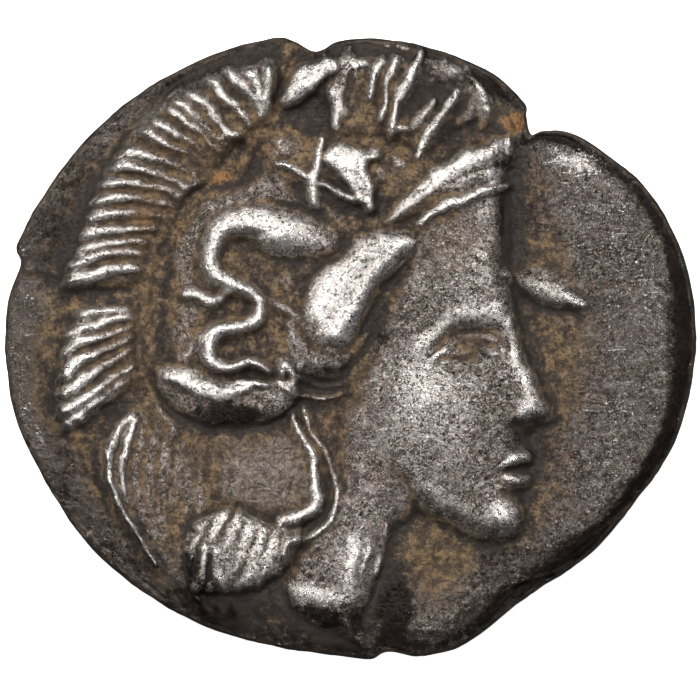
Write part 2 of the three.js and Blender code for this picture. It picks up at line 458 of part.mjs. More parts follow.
// The points that no triangle may be cut at, so that a face keeps every BORDER_STEP-th point of its border
// and no others there. A point is barred too when it lies in a triangle that may not be cut.
const onBorder = (k) => [column(k), row(k)].some((c) => c === 0 || c === GRID);
const barred = new Set();
for (let level = 0; level <= lastCut; level++) {
  levels[level].forEach((t, n) => {
    const middle = middleOf(t);
    const unkept = onBorder(middle) && (column(middle) % BORDER_STEP || row(middle) % BORDER_STEP);
    const inBarred = level > 0 && barred.has(middleOf(levels[level - 1][n >> 1]));
    if (unkept || inBarred) barred.add(middle);
  });
}

// How badly each point would be missed if the triangles whose long side it halves stayed whole. A point
// misses at least as much as those that only come after it, so that no crack opens between two triangles.
function misses(points) {
  const missed = new Float64Array(points.length);
  for (let level = lastCut; level >= 0; level--) {
    levels[level].forEach((t, n) => {
      const middle = middleOf(t);
      if (barred.has(middle)) return;
      const [from, to] = [points[t[1]], points[t[2]]];
      const own = Math.hypot(...points[middle].map((m, k) => m - (from[k] + to[k]) / 2));
      const below = level < lastCut ? [2 * n, 2 * n + 1].map((c) => missed[middleOf(levels[level + 1][c])]) : [];
      missed[middle] = Math.max(missed[middle], onBorder(middle) ? Infinity : own, ...below);
    });
  }
  return missed;
}

// The triangles of one face: as many as the budget allows, spent where the carving needs them most.
function meshFace(points, budget) {
  const missed = misses(points);
  const cut = (allowed) => {
    const whole = [];
    let open = levels[0];
    for (let level = 0; level <= lastCut; level++) {
      whole.push(...open.filter((t) => missed[middleOf(t)] <= allowed));
      open = open.filter((t) => missed[middleOf(t)] > allowed).flatMap(halvesOf);
    }
    return [...whole, ...open];
  };
  let [fine, coarse] = [0, RELIEF_HEIGHT];
  for (let round = 0; round < 18; round++) {
    const allowed = (fine + coarse) / 2;
    if (cut(allowed).length > budget) fine = allowed;
    else coarse = allowed;
  }
  return cut(coarse);
}

// The kept border points of a face, counter-clockwise seen from above.
function borderPoints() {
  const ring = [];
  for (let k = 0; k < GRID; k += BORDER_STEP) ring.push(index(k, 0));
  for (let k = 0; k < GRID; k += BORDER_STEP) ring.push(index(GRID, k));
  for (let k = GRID; k > 0; k -= BORDER_STEP) ring.push(index(k, GRID));
  for (let k = GRID; k > 0; k -= BORDER_STEP) ring.push(index(0, k));
  return ring;
}

function buildCoin() {
  const top = facePoints((p) => FLAN_THICKNESS + RELIEF_HEIGHT * obverse(p.x, p.y) - fieldFall(p));
  const bottom = facePoints((p) => underside(p.x, p.y));
  const vertices = [];
  const faces = [];
  const number = new Map();
  const vertex = (side, k, point) => {
    const key = side + k;
    if (!number.has(key)) number.set(key, vertices.push(point) - 1);
    return number.get(key);
  };
  const onTop = (k) => vertex("top", k, top[k]);
  const onBottom = (k) => vertex("bottom", k, bottom[k]);
  const onEdge = (k) => {
    const p = place(column(k), row(k));
    const rim = reach(p.angle) * UNIT;
    const half = (top[k][2] + bottom[k][2]) / 2;
    return vertex("edge", k, [rim * Math.cos(p.angle), rim * Math.sin(p.angle), half]);
  };
  meshFace(top, FACE_TRIANGLES).forEach(([a, b, c]) => faces.push([onTop(a), onTop(b), onTop(c)]));
  meshFace(bottom, BACK_TRIANGLES).forEach(([a, b, c]) => faces.push([onBottom(a), onBottom(c), onBottom(b)]));
  const ring = borderPoints();
  ring.forEach((a, n) => {
    const b = ring[(n + 1) % ring.length];
    faces.push([onTop(a), onEdge(a), onEdge(b)], [onTop(a), onEdge(b), onTop(b)]);
    faces.push([onEdge(a), onBottom(a), onBottom(b)], [onEdge(a), onBottom(b), onEdge(b)]);
  });
  const geometry = new THREE.BufferGeometry();
  geometry.setAttribute("position", new THREE.Float32BufferAttribute(vertices.flat(), 3));
  geometry.setIndex(faces.flat());
  geometry.computeBoundingBox();
  const middle = geometry.boundingBox.getCenter(new THREE.Vector3());
  geometry.translate(-middle.x, -middle.y, 0);
  geometry.computeVertexNormals();
  return geometry;
}

const silver = new THREE.MeshStandardMaterial({ color: 0x8a827c, roughness: 0.42, metalness: 0.9 });
const coin = new THREE.Mesh(buildCoin(), silver);
coin.name = "coin";
const part = new THREE.Group();
part.add(coin);
export default part;
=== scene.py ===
"""A small struck silver coin: its worn obverse, plainer reverse and hammered edge, with their toning."""

import math

import bpy
import numpy as np
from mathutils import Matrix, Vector


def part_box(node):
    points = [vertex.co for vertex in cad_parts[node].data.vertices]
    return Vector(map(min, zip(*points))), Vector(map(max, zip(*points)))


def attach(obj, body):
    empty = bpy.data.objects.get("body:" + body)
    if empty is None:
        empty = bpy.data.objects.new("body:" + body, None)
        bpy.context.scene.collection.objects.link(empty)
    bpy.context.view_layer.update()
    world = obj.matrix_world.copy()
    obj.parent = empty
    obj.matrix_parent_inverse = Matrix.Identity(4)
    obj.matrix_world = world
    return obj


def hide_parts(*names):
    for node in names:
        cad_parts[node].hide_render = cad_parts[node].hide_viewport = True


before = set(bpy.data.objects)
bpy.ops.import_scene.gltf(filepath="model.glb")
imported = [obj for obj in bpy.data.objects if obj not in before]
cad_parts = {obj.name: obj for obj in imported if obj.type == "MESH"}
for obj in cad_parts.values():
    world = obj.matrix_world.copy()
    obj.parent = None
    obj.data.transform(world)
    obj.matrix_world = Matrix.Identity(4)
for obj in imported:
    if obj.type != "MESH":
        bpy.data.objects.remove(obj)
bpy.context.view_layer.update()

bl_info = {
    "name": "Silver triobol",
    "version": (1, 0, 0),
    "blender": (4, 5, 0),
    "location": "View3D > Sidebar > Coin",
    "description": "Builds a small worn silver coin and the stage it lies on",
    "category": "Add Mesh",
}

# The flan's outline on the carving's grid, counter-clockwise from the right. The picture is 100 units wide.
OUTLINE = [
    (49.6, 0), (48.1, 12.4), (43, 22.6), (36, 28.6), (31.5, 31.2), (27.6, 31.4), (26, 30.9), (25.3, 33.6),
    (25, 35.4), (20.7, 39.5), (12.7, 43), (4.8, 44.6), (-1.4, 44.3), (-3.8, 43.1), (-5.4, 42.9), (-8, 44.3),
    (-11.4, 44.7), (-20, 42.2), (-30, 37), (-38, 30), (-44, 22.2), (-47.4, 16), (-47.8, 14.2), (-47.2, 12.2),
    (-49, 7), (-49.4, -1), (-47.3, -11.5), (-40, -24.8), (-32, -33), (-22, -39.1), (-11, -42.5), (-1, -43.9),
    (3, -44.3), (5.4, -43.3), (10.4, -43.9), (16.6, -42.1), (25, -35.7), (34, -29.6), (40.5, -22.3),
    (46.6, -13.1),
]

# Strands of the three tufts behind, each from its outer tip inwards.
BACK_STRANDS = [
    [(-11.9, 40.4), (-11.7, 38.6), (-11.4, 35.6), (-11, 33.4)],
    [(-14.6, 40.1), (-13.5, 38.4), (-12.4, 35.8), (-11.9, 33.4)],
    [(-17.7, 39.9), (-15.4, 38.1), (-13.4, 35.8), (-12.2, 33)],
    [(-20, 38.5), (-17.4, 35.9), (-15.4, 33.8), (-14, 31.9)],
    [(-22.7, 36.7), (-20.4, 34.8), (-18.2, 32.4), (-16.2, 30.4)],
    [(-24.4, 35.5), (-22.2, 33.8), (-19.9, 31.5), (-17.9, 29.6)],
    [(-25.4, 34.2), (-23, 32.4), (-20.8, 30.6), (-18.8, 28.8)],
    [(-27.7, 32.3), (-25.6, 31.3), (-23, 29.8), (-20.4, 27.9)],
    [(-30, 31.1), (-27.6, 30.2), (-25, 28.8), (-21.4, 26.9)],
    [(-33, 27.4), (-31, 28), (-28.6, 27.6), (-25.4, 26.4), (-22.2, 25)],
    [(-34.2, 25.7), (-31.4, 26.4), (-28.8, 25.8), (-25.8, 24.5), (-23.4, 23)],
    [(-35.3, 23.3), (-32, 24), (-29, 23.7), (-26, 22.8), (-24.4, 21.6)],
    [(-37, 20.6), (-33.6, 21.5), (-30.6, 21.8), (-27, 21.1), (-25.2, 20.2)],
    [(-37.2, 18.5), (-34.6, 19.2), (-31.6, 19.5), (-28.6, 19.6), (-26.4, 18.8)],
    [(-38.4, 16), (-36, 16.8), (-33, 17.3), (-29.6, 17.6), (-27.2, 17)],
    [(-38.4, 14), (-36, 14.7), (-33.6, 15.3), (-30.6, 15.6), (-28.2, 15.3)],
    [(-39.8, 11.6), (-37.5, 12.7), (-34.6, 13.5), (-31.6, 13.9), (-29.4, 13.6)],
    [(-40.6, 9.3), (-37.4, 10.4), (-34.7, 11.2), (-32, 11.7), (-30.4, 11.5)],
]
MIDDLE_STRANDS = [
    [(-39.2, 4.8), (-37, 5.3), (-34.6, 5.6), (-31.4, 5.7)],
    [(-40.3, 1.7), (-38.5, 2.8), (-36.6, 3.4), (-34, 4.2), (-31, 4.6)],
    [(-40.9, -1), (-39.4, 0.5), (-37.4, 1.4), (-35, 2.2), (-31, 3.2)],
    [(-41.4, -4), (-40, -2.7), (-38, -1.3), (-35.5, -0.2), (-31.2, 1.7)],
    [(-41.2, -6.3), (-39.5, -5.2), (-37.4, -3.6), (-34.6, -1.9), (-31.2, 0)],
    [(-41.4, -9.4), (-39.2, -7.9), (-37, -6.3), (-34.6, -4.6), (-31, -2.2)],
    [(-40.2, -11.1), (-37.8, -9.2), (-35.2, -7), (-32, -4.8), (-30, -3.6)],
]
LOWER_STRANDS = [
    [(-31.2, -9.2), (-33.4, -12), (-34.4, -15), (-34.3, -18), (-33.4, -21), (-31.8, -24), (-29.8, -27.4),
     (-28, -30.6)],
    [(-30.8, -9.8), (-31.7, -13), (-32.3, -16), (-32.3, -19), (-31.6, -22)],
    [(-29.2, -10.4), (-30, -14), (-30.5, -18), (-29.9, -22), (-28.7, -26)],
    [(-27.6, -10.6), (-28, -14), (-28.7, -18), (-28.3, -23), (-27.4, -28)],
    [(-26, -12), (-26.2, -16), (-26.8, -20), (-26.6, -25), (-26.2, -30)],
    [(-24.4, -13), (-24.4, -17), (-25, -21), (-25, -26), (-25, -31)],
    [(-22.6, -13), (-22.8, -17), (-23.2, -21), (-23.6, -25)],
    [(-20.8, -12.6), (-21, -16), (-21.4, -20), (-21.6, -23)],
]
HANGING_LOCKS = [
    [(-24, -26.4), (-24.3, -29.4), (-23.7, -33), (-22.6, -36)],
    [(-22.3, -27.4), (-22.7, -30.6), (-21.9, -34.2), (-20.8, -36.8)],
    [(-20.8, -28.2), (-20.9, -31.4), (-20, -34.6), (-18.8, -37.4)],
    [(-19.2, -28.8), (-19, -31.8), (-18, -35), (-16.8, -37.8)],
]

LOWER_HEIGHTS = (0.4, 0.32, 0.14, 0.12, 0.1, 0.1, 0.08, 0.08)

# Plates that the hair stands on.
CREST_PLATES = [
    [(-10.6, 41.2), (-16.5, 41.2), (-21.8, 39.6), (-28.8, 35), (-32.2, 30.6), (-35.4, 25), (-37.8, 20.4),
     (-39.2, 15.8), (-41.4, 8.6), (-36, 8.8), (-30.2, 9.6), (-28.2, 14.6), (-25, 20.6), (-20.6, 24),
     (-14.6, 30.6), (-10.8, 32.6)],
    [(-39.6, 4.9), (-36, 6.4), (-31, 6.4), (-30.4, 0), (-30.6, -4), (-34, -6.4), (-37, -8.8), (-40.8, -11.2),
     (-42.2, -7), (-41.6, -2), (-40.6, 1.4)],
    [(-30.6, -6.6), (-34.4, -11), (-36.4, -15), (-35.4, -19), (-32.4, -23.6), (-28.8, -29.6), (-26.6, -33.4),
     (-24, -35.4), (-20.4, -36.4), (-18.6, -33), (-18.4, -26), (-18.4, -18), (-18.6, -11), (-24, -8),
     (-28, -6.4)],
    [(-9.6, 34.8), (-8.6, 40.2), (-4, 42.6), (3, 42.6), (9, 42.6), (14.6, 40.4), (18, 39), (20, 35.4),
     (19.4, 33), (15.6, 31.6), (10.6, 27.2), (6, 30.2), (-2, 30.6), (-3.4, 35), (-6, 36.4)],
]

# Strokes as (x, y, half-width) with their height over what they lie on, as a share of the relief.
FRONT_CREST = [
    (0.14, [(-2.7, 36.4, 0.3), (-2.6, 34, 0.4), (-2.4, 32, 0.45), (-1.6, 30.9, 0.7)]),
    (0.32, [(4.4, 41.4, 0.6), (3.7, 40.1, 0.85), (3.3, 38.8, 0.5), (2.9, 37.2, 0.3), (2.6, 36, 0.2)]),
    (0.34, [(6.5, 41.2, 0.6), (6.1, 39.6, 0.95), (5.5, 38.2, 0.7), (5.2, 36.6, 0.35), (4.9, 35, 0.3),
        (4.6, 33, 0.25)]),
    (0.38, [(9.9, 42.2, 0.5), (9, 40, 0.85), (8, 38, 0.9), (7.2, 36.4, 0.85), (6.6, 34.6, 0.65),
        (6.3, 32.6, 0.6), (6.1, 30.6, 0.45)]),
    (0.26, [(6.2, 31.2, 0.5), (7.2, 31.5, 0.7), (8.1, 31.8, 0.4)]),
    (0.26, [(12.1, 35.8, 0.3), (11, 34.4, 0.7), (10, 33, 0.7), (9.2, 31.9, 0.4)]),
    (0.34, [(15.4, 36.6, 0.3), (14, 34.6, 0.5), (12.6, 32.8, 0.75), (11.4, 31.6, 0.95), (10.8, 30.4, 0.95),
        (10, 28.8, 0.6), (9.6, 27.8, 0.25)]),
    (0.12, [(17.8, 34.8, 0.3), (16.8, 33.2, 0.5), (15.6, 31.8, 0.3)]),
    (0.1, [(20.2, 35.2, 0.3), (19.4, 33.8, 0.4), (18.4, 32.4, 0.3)]),
    (0.2, [(5, 43.7, 0.5), (6.4, 43.8, 0.7), (8, 43, 0.6), (10, 42.1, 0.6), (12, 41, 0.6), (14, 40.2, 0.7),
        (16.4, 39.8, 0.6), (18.2, 38.2, 0.6), (19.4, 35.8, 0.6), (19.6, 33.6, 0.5), (18.6, 31.8, 0.3)]),
]
LEAF = [
    (-9.8, 34.8), (-9.3, 37.6), (-8.3, 40), (-6.6, 41.4), (-4.6, 42.2), (-3, 42.4), (-1.8, 41.8),
    (-1.5, 40.2), (-2.6, 39), (-4.2, 38), (-5.6, 36.8), (-7.2, 35.4), (-8.6, 34.5),
]
CREST_KNOB = [
    (-2.2, 39.4), (-2.2, 42.4), (-1, 44), (0.6, 44.2), (1.2, 42.4), (2.6, 41.8), (2.8, 40.4), (1.8, 39.6),
    (1.1, 37.8), (0.3, 39.2), (-0.4, 36.2), (0, 34), (-1, 32.4), (-1.1, 30.8), (-2.5, 31), (-2.9, 33),
    (-2.9, 35.8), (-3.6, 37.2), (-2.8, 38.6),
]
CREST_RIDGE = [
    (0.24, [(-18, 31, 0.4), (-16.4, 30.6, 0.5), (-14.6, 30.7, 0.55), (-14.1, 29.4, 0.5), (-15.4, 25.8, 0.3)]),
    (0.22, [(-20.8, 24.2, 0.3), (-23.8, 22.2, 0.5), (-25.8, 18.6, 0.5), (-27.7, 14.3, 0.4), (-29, 11, 0.5),
        (-29.4, 9.4, 0.7), (-29.2, 7, 0.55), (-29.6, 3, 0.5), (-29.8, 0, 0.5), (-29.3, -4, 0.45),
        (-27.6, -7.4, 0.5), (-25.2, -11.8, 0.3)]),
    (0.12, [(-22, 22, 0.3), (-25.6, 16.4, 0.45), (-27.4, 10.6, 0.45), (-27.9, 4, 0.45), (-28, -2, 0.4),
        (-26.6, -6, 0.3)]),
]
TAIL = [
    (-2.6, 15.2, 1.2), (-4, 15.6, 2.2), (-5.8, 16, 2.8), (-8, 16.5, 3.1), (-10.5, 16.9, 3.2),
    (-13, 17.9, 2.6), (-16, 18.1, 2.2), (-18.6, 16.8, 1.9), (-19.7, 14.4, 1.7), (-19.7, 12, 1.7),
    (-18.9, 10.2, 1.7), (-17, 9.4, 1.5), (-15, 8.6, 1.3), (-13.4, 7.5, 1.15), (-12.7, 6.2, 1.05),
    (-13, 4.6, 1.2), (-14.4, 3.5, 1.15), (-16.5, 3, 1.1), (-18.4, 2.9, 1.2), (-19.9, 1.8, 1.45),
    (-20.3, 0, 1.4), (-19.9, -1.6, 1.25), (-18.5, -2.6, 1.1), (-16.4, -2.5, 0.85), (-14.4, -1.9, 0.75),
    (-12.8, -2.3, 0.6), (-11.4, -3.3, 0.3),
]
CREATURE = [
    (0.3, [(-23.9, 7.9, 0.3), (-22, 8, 0.9), (-20.6, 7.1, 1.1), (-19.2, 6.9, 0.9), (-17.6, 7.9, 0.4)]),
    (0.2, [(-12.4, 7.5, 0.3), (-10.6, 6.7, 0.35), (-8.6, 5.5, 0.35), (-7, 4.2, 0.35), (-5.6, 2.4, 0.35),
        (-4, 0.6, 0.35), (-2.4, -0.4, 0.3)]),
    (0.14, [(-23.4, -1.2, 0.3), (-22.2, 0.6, 0.6), (-21.4, 2.4, 0.4)]),
    (0.3, [(-10.6, 26.6, 0.3), (-8.8, 26.1, 0.5), (-7.2, 25.1, 0.5), (-5.8, 24.4, 0.5)]),
    (0.4, [(-3.8, 30.2, 0.3), (-4.4, 28.4, 0.6), (-4.7, 26.6, 0.85), (-5, 24.6, 1.1), (-5.1, 22.4, 1.15),
        (-5, 20.9, 0.8)]),
    (0.32, [(-3.9, 23.9, 0.3), (-2.4, 23.1, 0.5), (-1, 22.1, 0.55), (0.4, 21.4, 0.5), (1.6, 21.4, 0.4)]),
    (0.14, [(2.8, 21.4, 0.5), (3, 20, 0.5)]),
    (0.1, [(3.8, 25.4, 0.4), (4.2, 24.2, 0.4)]),
    (0.08, [(-3.6, 20.8, 0.4), (-2.2, 19.4, 0.5), (-1.2, 18.7, 0.3)]),
    (0.1, [(6.5, 27.6, 0.9), (7.2, 26.9, 1)]),
]
TORSO = [
    (-3.8, 27.4), (-2.8, 29.2), (-0.9, 29.9), (0.9, 29.3), (2.4, 28.7), (3.2, 29.6), (4.6, 28.7), (4.1, 27.2),
    (3, 26.7), (2.6, 25.9), (2.8, 25), (3.5, 23.6), (3.3, 22), (3.8, 20.5), (2.6, 19.4), (1.4, 20.8),
    (0.2, 22), (-0.5, 23.4), (-1.7, 24.6), (-3.1, 25.9),
]
TAIL_SHOULDER = [
    (-23.4, 9, 1.4), (-24, 13, 2.2), (-22.8, 17.6, 2.8), (-19, 21.2, 2.4), (-14, 22.4, 2), (-8, 21.2, 1.4),
]
BOWL = [
    (-26.6, 14), (-23.4, 19.6), (-19.4, 23), (-14, 25.6), (-11.4, 31.4), (-4, 31.4), (4, 29.6), (12, 29.4),
    (20.6, 31.2), (22, 27), (14, 19), (12, 10), (4, 0), (-4, -5), (-12, -5.6), (-16, -7), (-23, -7.2),
    (-26.6, -3.4), (-27.4, 5),
]
GUARD_RIM = [
    (0.26, [(-25.8, -3.8, 1.2), (-23.6, -4.1, 1.8), (-21, -5, 1.8), (-18.5, -5.7, 1.7), (-16.2, -5.4, 1.3),
        (-14.4, -5.2, 0.8)]),
    (0.34, [(-15.9, -4.7, 0.5), (-14, -4.6, 0.55), (-12.8, -4.7, 0.5), (-11.8, -4.9, 0.3)]),
]
RIM_ROLL = [
    (-27.4, -2.4), (-24, -1.4), (-19, -3.4), (-13, -3.6), (-9.6, -3.2), (-7.2, -4.6), (-7.6, -7.4),
    (-10, -9.8), (-14.6, -11.4), (-19.6, -11.2), (-24, -9.4), (-27.2, -6),
]
VISOR = [
    (4.8, 18), (6.4, 21), (8.4, 23.3), (12.4, 26.4), (17, 29), (22.8, 31), (24.2, 29.4), (23, 25.8),
    (16.8, 22.9), (11.8, 20.4), (8.4, 18.6),
]
VISOR_RIDGE = [(5.2, 18.5, 0.4), (7.4, 21.6, 1), (11.2, 24.9, 1.15), (16.4, 27.9, 1.1), (22.8, 30.3, 0.6)]
VISOR_LOWER = [(9.8, 18, 0.5), (12.2, 19.5, 0.9), (15.6, 21.4, 1), (19.2, 22.6, 0.9), (23, 23.4, 0.5)]
TEMPLE_LOBE = [
    (-7.6, 5), (-7, 7.6), (-6, 9.8), (-4.9, 11.6), (-3.4, 12.8), (-1.4, 14), (-0.4, 15.2), (1, 16.6),
    (3, 17.5), (5, 17.9), (8, 17.4), (10.3, 16.3), (10.4, 15), (9.2, 13.4), (7.6, 11.6), (6, 9.8), (4.6, 8),
    (3.4, 6.2), (2.2, 4.2), (1.2, 2), (0.2, 0.3), (-1.4, -0.7), (-3.4, -0.6), (-5.3, 0.6), (-6.7, 2.7),
]
TEMPLE_HAIR = [
    (0.2, [(-8.4, 3.6, 0.6), (-7, 0.6, 1.3), (-4.4, -1.4, 1.7), (-1.4, -1.8, 1.7), (1, -0.4, 1.3),
        (2.4, 2, 0.7)]),
    (0.1, [(-6.4, -2.2, 0.4), (-4, -3.4, 0.6), (-1.2, -3.7, 0.6), (0.8, -2.8, 0.4)]),
    (0.14, [(1.6, 7, 0.3), (3, 7.4, 0.4), (4.2, 8.2, 0.3)]),
    (0.12, [(-7.2, -3.6, 0.3), (-5.2, -4.9, 0.4), (-3, -5.2, 0.4), (-1.2, -4.6, 0.3)]),
    (0.1, [(1.6, -1.8, 0.3), (3.2, 0.4, 0.4), (4.2, 2.8, 0.3)]),
]
EAR = [
    (0.32, [(-9.6, -3.4, 0.6), (-9, -2, 0.8), (-8.2, -3, 0.8), (-7.8, -4.4, 0.6)]),
    (0.22, [(-9, -4.6, 0.5), (-8, -5.4, 0.7), (-6.8, -5.6, 0.4)]),
    (0.22, [(-7.2, -2.4, 0.4), (-6.7, -1.7, 0.4)]),
    (0.28, [(-9.9, -4.6, 0.4), (-8, -6.2, 0.5), (-6, -6.8, 0.5), (-4, -7.2, 0.5), (-2.3, -6.8, 0.4),
        (-1.4, -6.2, 0.3)]),
]
NAPE = [
    (-21, -9.6), (-12, -9.8), (-7.6, -10.6), (-4.4, -16.4), (-3.2, -22), (-8, -25.4), (-17, -24), (-21, -20),
]
PIPING = [
    (0.3, [(-6.5, -8.4, 0.3), (-5.8, -10.6, 0.4), (-5, -12.6, 0.45), (-3.9, -14.6, 0.5), (-2.6, -17, 0.5),
        (-2, -19.6, 0.5), (-2, -22, 0.5), (-2.8, -24.2, 0.5), (-4.2, -26, 0.6), (-6, -26.7, 0.6),
        (-8.6, -27.2, 0.5), (-9.6, -29.4, 0.3)]),
    (0.4, [(-8.1, -9.5, 0.4), (-7.3, -11.6, 0.7), (-6.4, -13.4, 0.9), (-5.5, -15.4, 1.1), (-5, -17.4, 1.25),
        (-4.7, -19.6, 1.4), (-4.6, -21.4, 1.45), (-5.2, -22.8, 1.45), (-6.4, -23.6, 1.35),
        (-8.2, -24.2, 1.2), (-10, -24.5, 0.8)]),
    (0.14, [(-5.6, -14.6, 0.3), (-4.2, -14, 0.3)]),
]
ROLL = [
    (-6.6, -25.8), (-9, -25), (-12, -24.2), (-15, -22.8), (-17.6, -22), (-20.4, -23.2), (-23, -24.6),
    (-24.2, -27.2), (-23.8, -30.8), (-22.4, -34.4), (-19.6, -35), (-15.6, -34.6), (-12, -33.4), (-9.3, -31.4),
    (-7.4, -29.2),
]
ROLL_GROOVES = [  # their depth, then (x, y)
    (0.24, [(-16.2, -22.4), (-17.6, -25), (-19, -27.8)]),
    (0.16, [(-20, -24.4), (-21.2, -27.2), (-22.4, -31), (-22.6, -33)]),
    (0.16, [(-22.4, -25.6), (-23.2, -28)]),
    (0.13, [(-15.1, -24.8), (-15.8, -26.8), (-16.6, -28.8)]),
    (0.13, [(-13.4, -25.8), (-13.9, -27.6), (-14.6, -29.6)]),
    (0.13, [(-11.3, -25.6), (-11.8, -27.4), (-12.5, -29.6)]),
    (0.12, [(-9.4, -26.2), (-9.8, -28.2), (-10.5, -30.2)]),
    (0.16, [(-19.6, -29.4), (-20.2, -32), (-21, -34.8)]),
    (0.16, [(-15.2, -30.8), (-16.4, -32.8), (-17.6, -34.4)]),
    (0.1, [(-12.4, -30.8), (-13.6, -33)]),
]
NECK = [
    (-6, -25), (-9.6, -32), (-9.2, -36), (-5, -39.6), (0, -42), (2, -42), (2, -38.6), (3.6, -34.6),
    (4.8, -31), (5.6, -27), (9, -24), (14, -18), (10, -8), (0, -6), (-2, -12), (-2.6, -20),
]
NECK_LOCKS = [
    (0.1, [(0.4, -26.6, 1.6), (0.4, -29.6, 2.4), (-0.4, -33, 2.2)]),
    (0.05, [(-1.6, -27.8, 0.3), (-1.2, -30.4, 0.5), (-1.8, -34.2, 0.4)]),
    (0.07, [(-0.2, -26.2, 0.3), (0.1, -29, 0.55), (-0.3, -32.6, 0.4)]),
    (0.05, [(1.2, -28, 0.3), (1.2, -30.8, 0.4), (0.6, -34.6, 0.3)]),
    (0.08, [(2.6, -26.6, 0.3), (2.6, -29.4, 0.5), (2, -31.8, 0.3)]),
    (0.14, [(5.2, -24.8, 0.3), (4.8, -28.6, 0.6), (3.8, -32, 0.4)]),
    (0.07, [(-9, -33.4, 1.2), (-6.6, -34.6, 2.2), (-4.4, -35.4, 2.4), (-2, -35.6, 2.2), (0.6, -34.8, 1.4)]),
    (0.05, [(-6.6, -28.6, 0.6), (-6, -32, 1.1), (-4.6, -35, 0.8)]),
    (0.05, [(-3.6, -27.6, 0.6), (-3.2, -31, 1.1), (-3.2, -34.4, 0.8)]),
]
FIELD_FLAWS = [
    (0.3, [(22.8, 11.2, 1.8), (25.2, 10.2, 3.2), (28.2, 8.8, 3.2), (31, 7.4, 2.4), (33.4, 6.4, 1)]),
    (0.06, [(8.4, -40, 0.6), (11, -39.6, 1.2), (14.6, -39.8, 0.7)]),
    (0.06, [(20, -34.6, 0.6), (23.6, -33.2, 1.1), (27.6, -32.6, 0.6)]),
]
FIELD_CUTS = [
    (0.08, [(24, 7.4, 0.4), (27.4, 6, 0.6), (31, 5.2, 0.5), (33.6, 4.8, 0.3)]),
    (0.05, [(22.6, 22, 0.3), (22, 16, 0.5), (21.8, 9.6, 0.3)]),
    (0.04, [(29, -19, 0.2), (31.6, -22, 0.45), (34.4, -25.4, 0.3)]),
    (0.14, [(-5.2, 44, 1.2), (-7.6, 41.6, 1.1), (-9.4, 38.4, 0.8), (-10.4, 34, 0.4)]),
    (0.1, [(-46, 10.8, 0.5), (-43.8, 10.4, 0.5), (-41.8, 9.8, 0.3)]),
]

# The large forms: height as a share of the relief, breadth of the shoulder, section and outline.
PLATES = [
    (0.42, 4.4, "sloped", BOWL), (0.42, 4.4, "sloped", NECK), (0.24, 4, "sloped", NAPE),
    (0.6, 3.4, "round", ROLL), (0.54, 3.6, "round", RIM_ROLL),
    (0.22, 1.8, "sloped", CREST_PLATES[0]), (0.24, 1.8, "sloped", CREST_PLATES[1]),
    (0.2, 3.4, "sloped", CREST_PLATES[2]), (0.18, 1.8, "sloped", CREST_PLATES[3]),
]
TOP_FROM, TOP_SHARE = 0.9, 0.2  # heights over this share of the relief are pressed to so much of themselves

# The face is a plain one in profile, on the canon of three equal parts: hairline to brow, brow to the base of
# the nose, and from there to the chin. Places are (ahead, down) as shares of its height.
HAIRLINE, CHIN, FACE_FRONT = 20.0, -28.0, 21.6
FACE_PROFILE = [
    (-0.02, -0.135), (0.03, -0.09), (0.034, 0.06), (0.038, 0.2), (0.052, 0.31), (0.08, 0.4), (0.124, 0.52),
    (0.158, 0.605), (0.15, 0.638), (0.104, 0.658), (0.085, 0.685), (0.106, 0.72), (0.098, 0.752),
    (0.078, 0.768), (0.094, 0.792), (0.084, 0.824), (0.06, 0.85), (0.074, 0.9), (0.064, 0.955), (0.01, 0.995),
    (-0.07, 0.985), (-0.17, 0.945), (-0.27, 0.88), (-0.37, 0.78), (-0.44, 0.66), (-0.47, 0.52), (-0.44, 0.42),
    (-0.36, 0.22), (-0.3, 0.01), (-0.22, -0.073), (-0.117, -0.135),
]
FACE_SWELLS = [  # height, ahead, down, reach across, reach down, turn in degrees
    (0.24, -0.2, 0.62, 0.26, 0.27, 0), (0.13, -0.1, 0.2, 0.18, 0.17, 0), (0.15, 0.02, 0.905, 0.1, 0.08, 0),
    (0.15, 0.086, 0.605, 0.06, 0.05, 0), (-0.34, -0.09, 0.41, 0.15, 0.085, 12),
    (-0.1, 0.03, 0.775, 0.05, 0.04, 0), (-0.08, 0.03, 0.85, 0.07, 0.025, 0),
    (-0.1, 0.055, 0.64, 0.035, 0.018, 0), (-0.06, -0.06, 0.7, 0.1, 0.05, 60),
]
FACE_STROKES = [  # height, section, then (ahead, down, half-width)
    (0.12, "soft", [(0.03, 0.34, 0.04), (0.066, 0.46, 0.05), (0.112, 0.58, 0.05)]),
    (0.1, "soft", [(-0.24, 0.4, 0.035), (-0.14, 0.318, 0.05), (-0.04, 0.3, 0.055), (0.03, 0.32, 0.04)]),
    (0.17, "round", [(-0.165, 0.425, 0.012), (-0.11, 0.42, 0.03), (-0.06, 0.424, 0.03), (-0.02, 0.43, 0.01)]),
    (0.15, "round", [(-0.2, 0.44, 0.008), (-0.15, 0.398, 0.012), (-0.09, 0.38, 0.013), (-0.03, 0.39, 0.012),
        (0.0, 0.42, 0.008)]),
    (0.1, "round", [(-0.18, 0.444, 0.006), (-0.11, 0.463, 0.01), (-0.04, 0.456, 0.008)]),
    (0.14, "round", [(0.0, 0.757, 0.01), (0.04, 0.74, 0.02), (0.09, 0.737, 0.022)]),
    (0.13, "round", [(0.01, 0.785, 0.008), (0.04, 0.8, 0.02), (0.08, 0.8, 0.02)]),
]

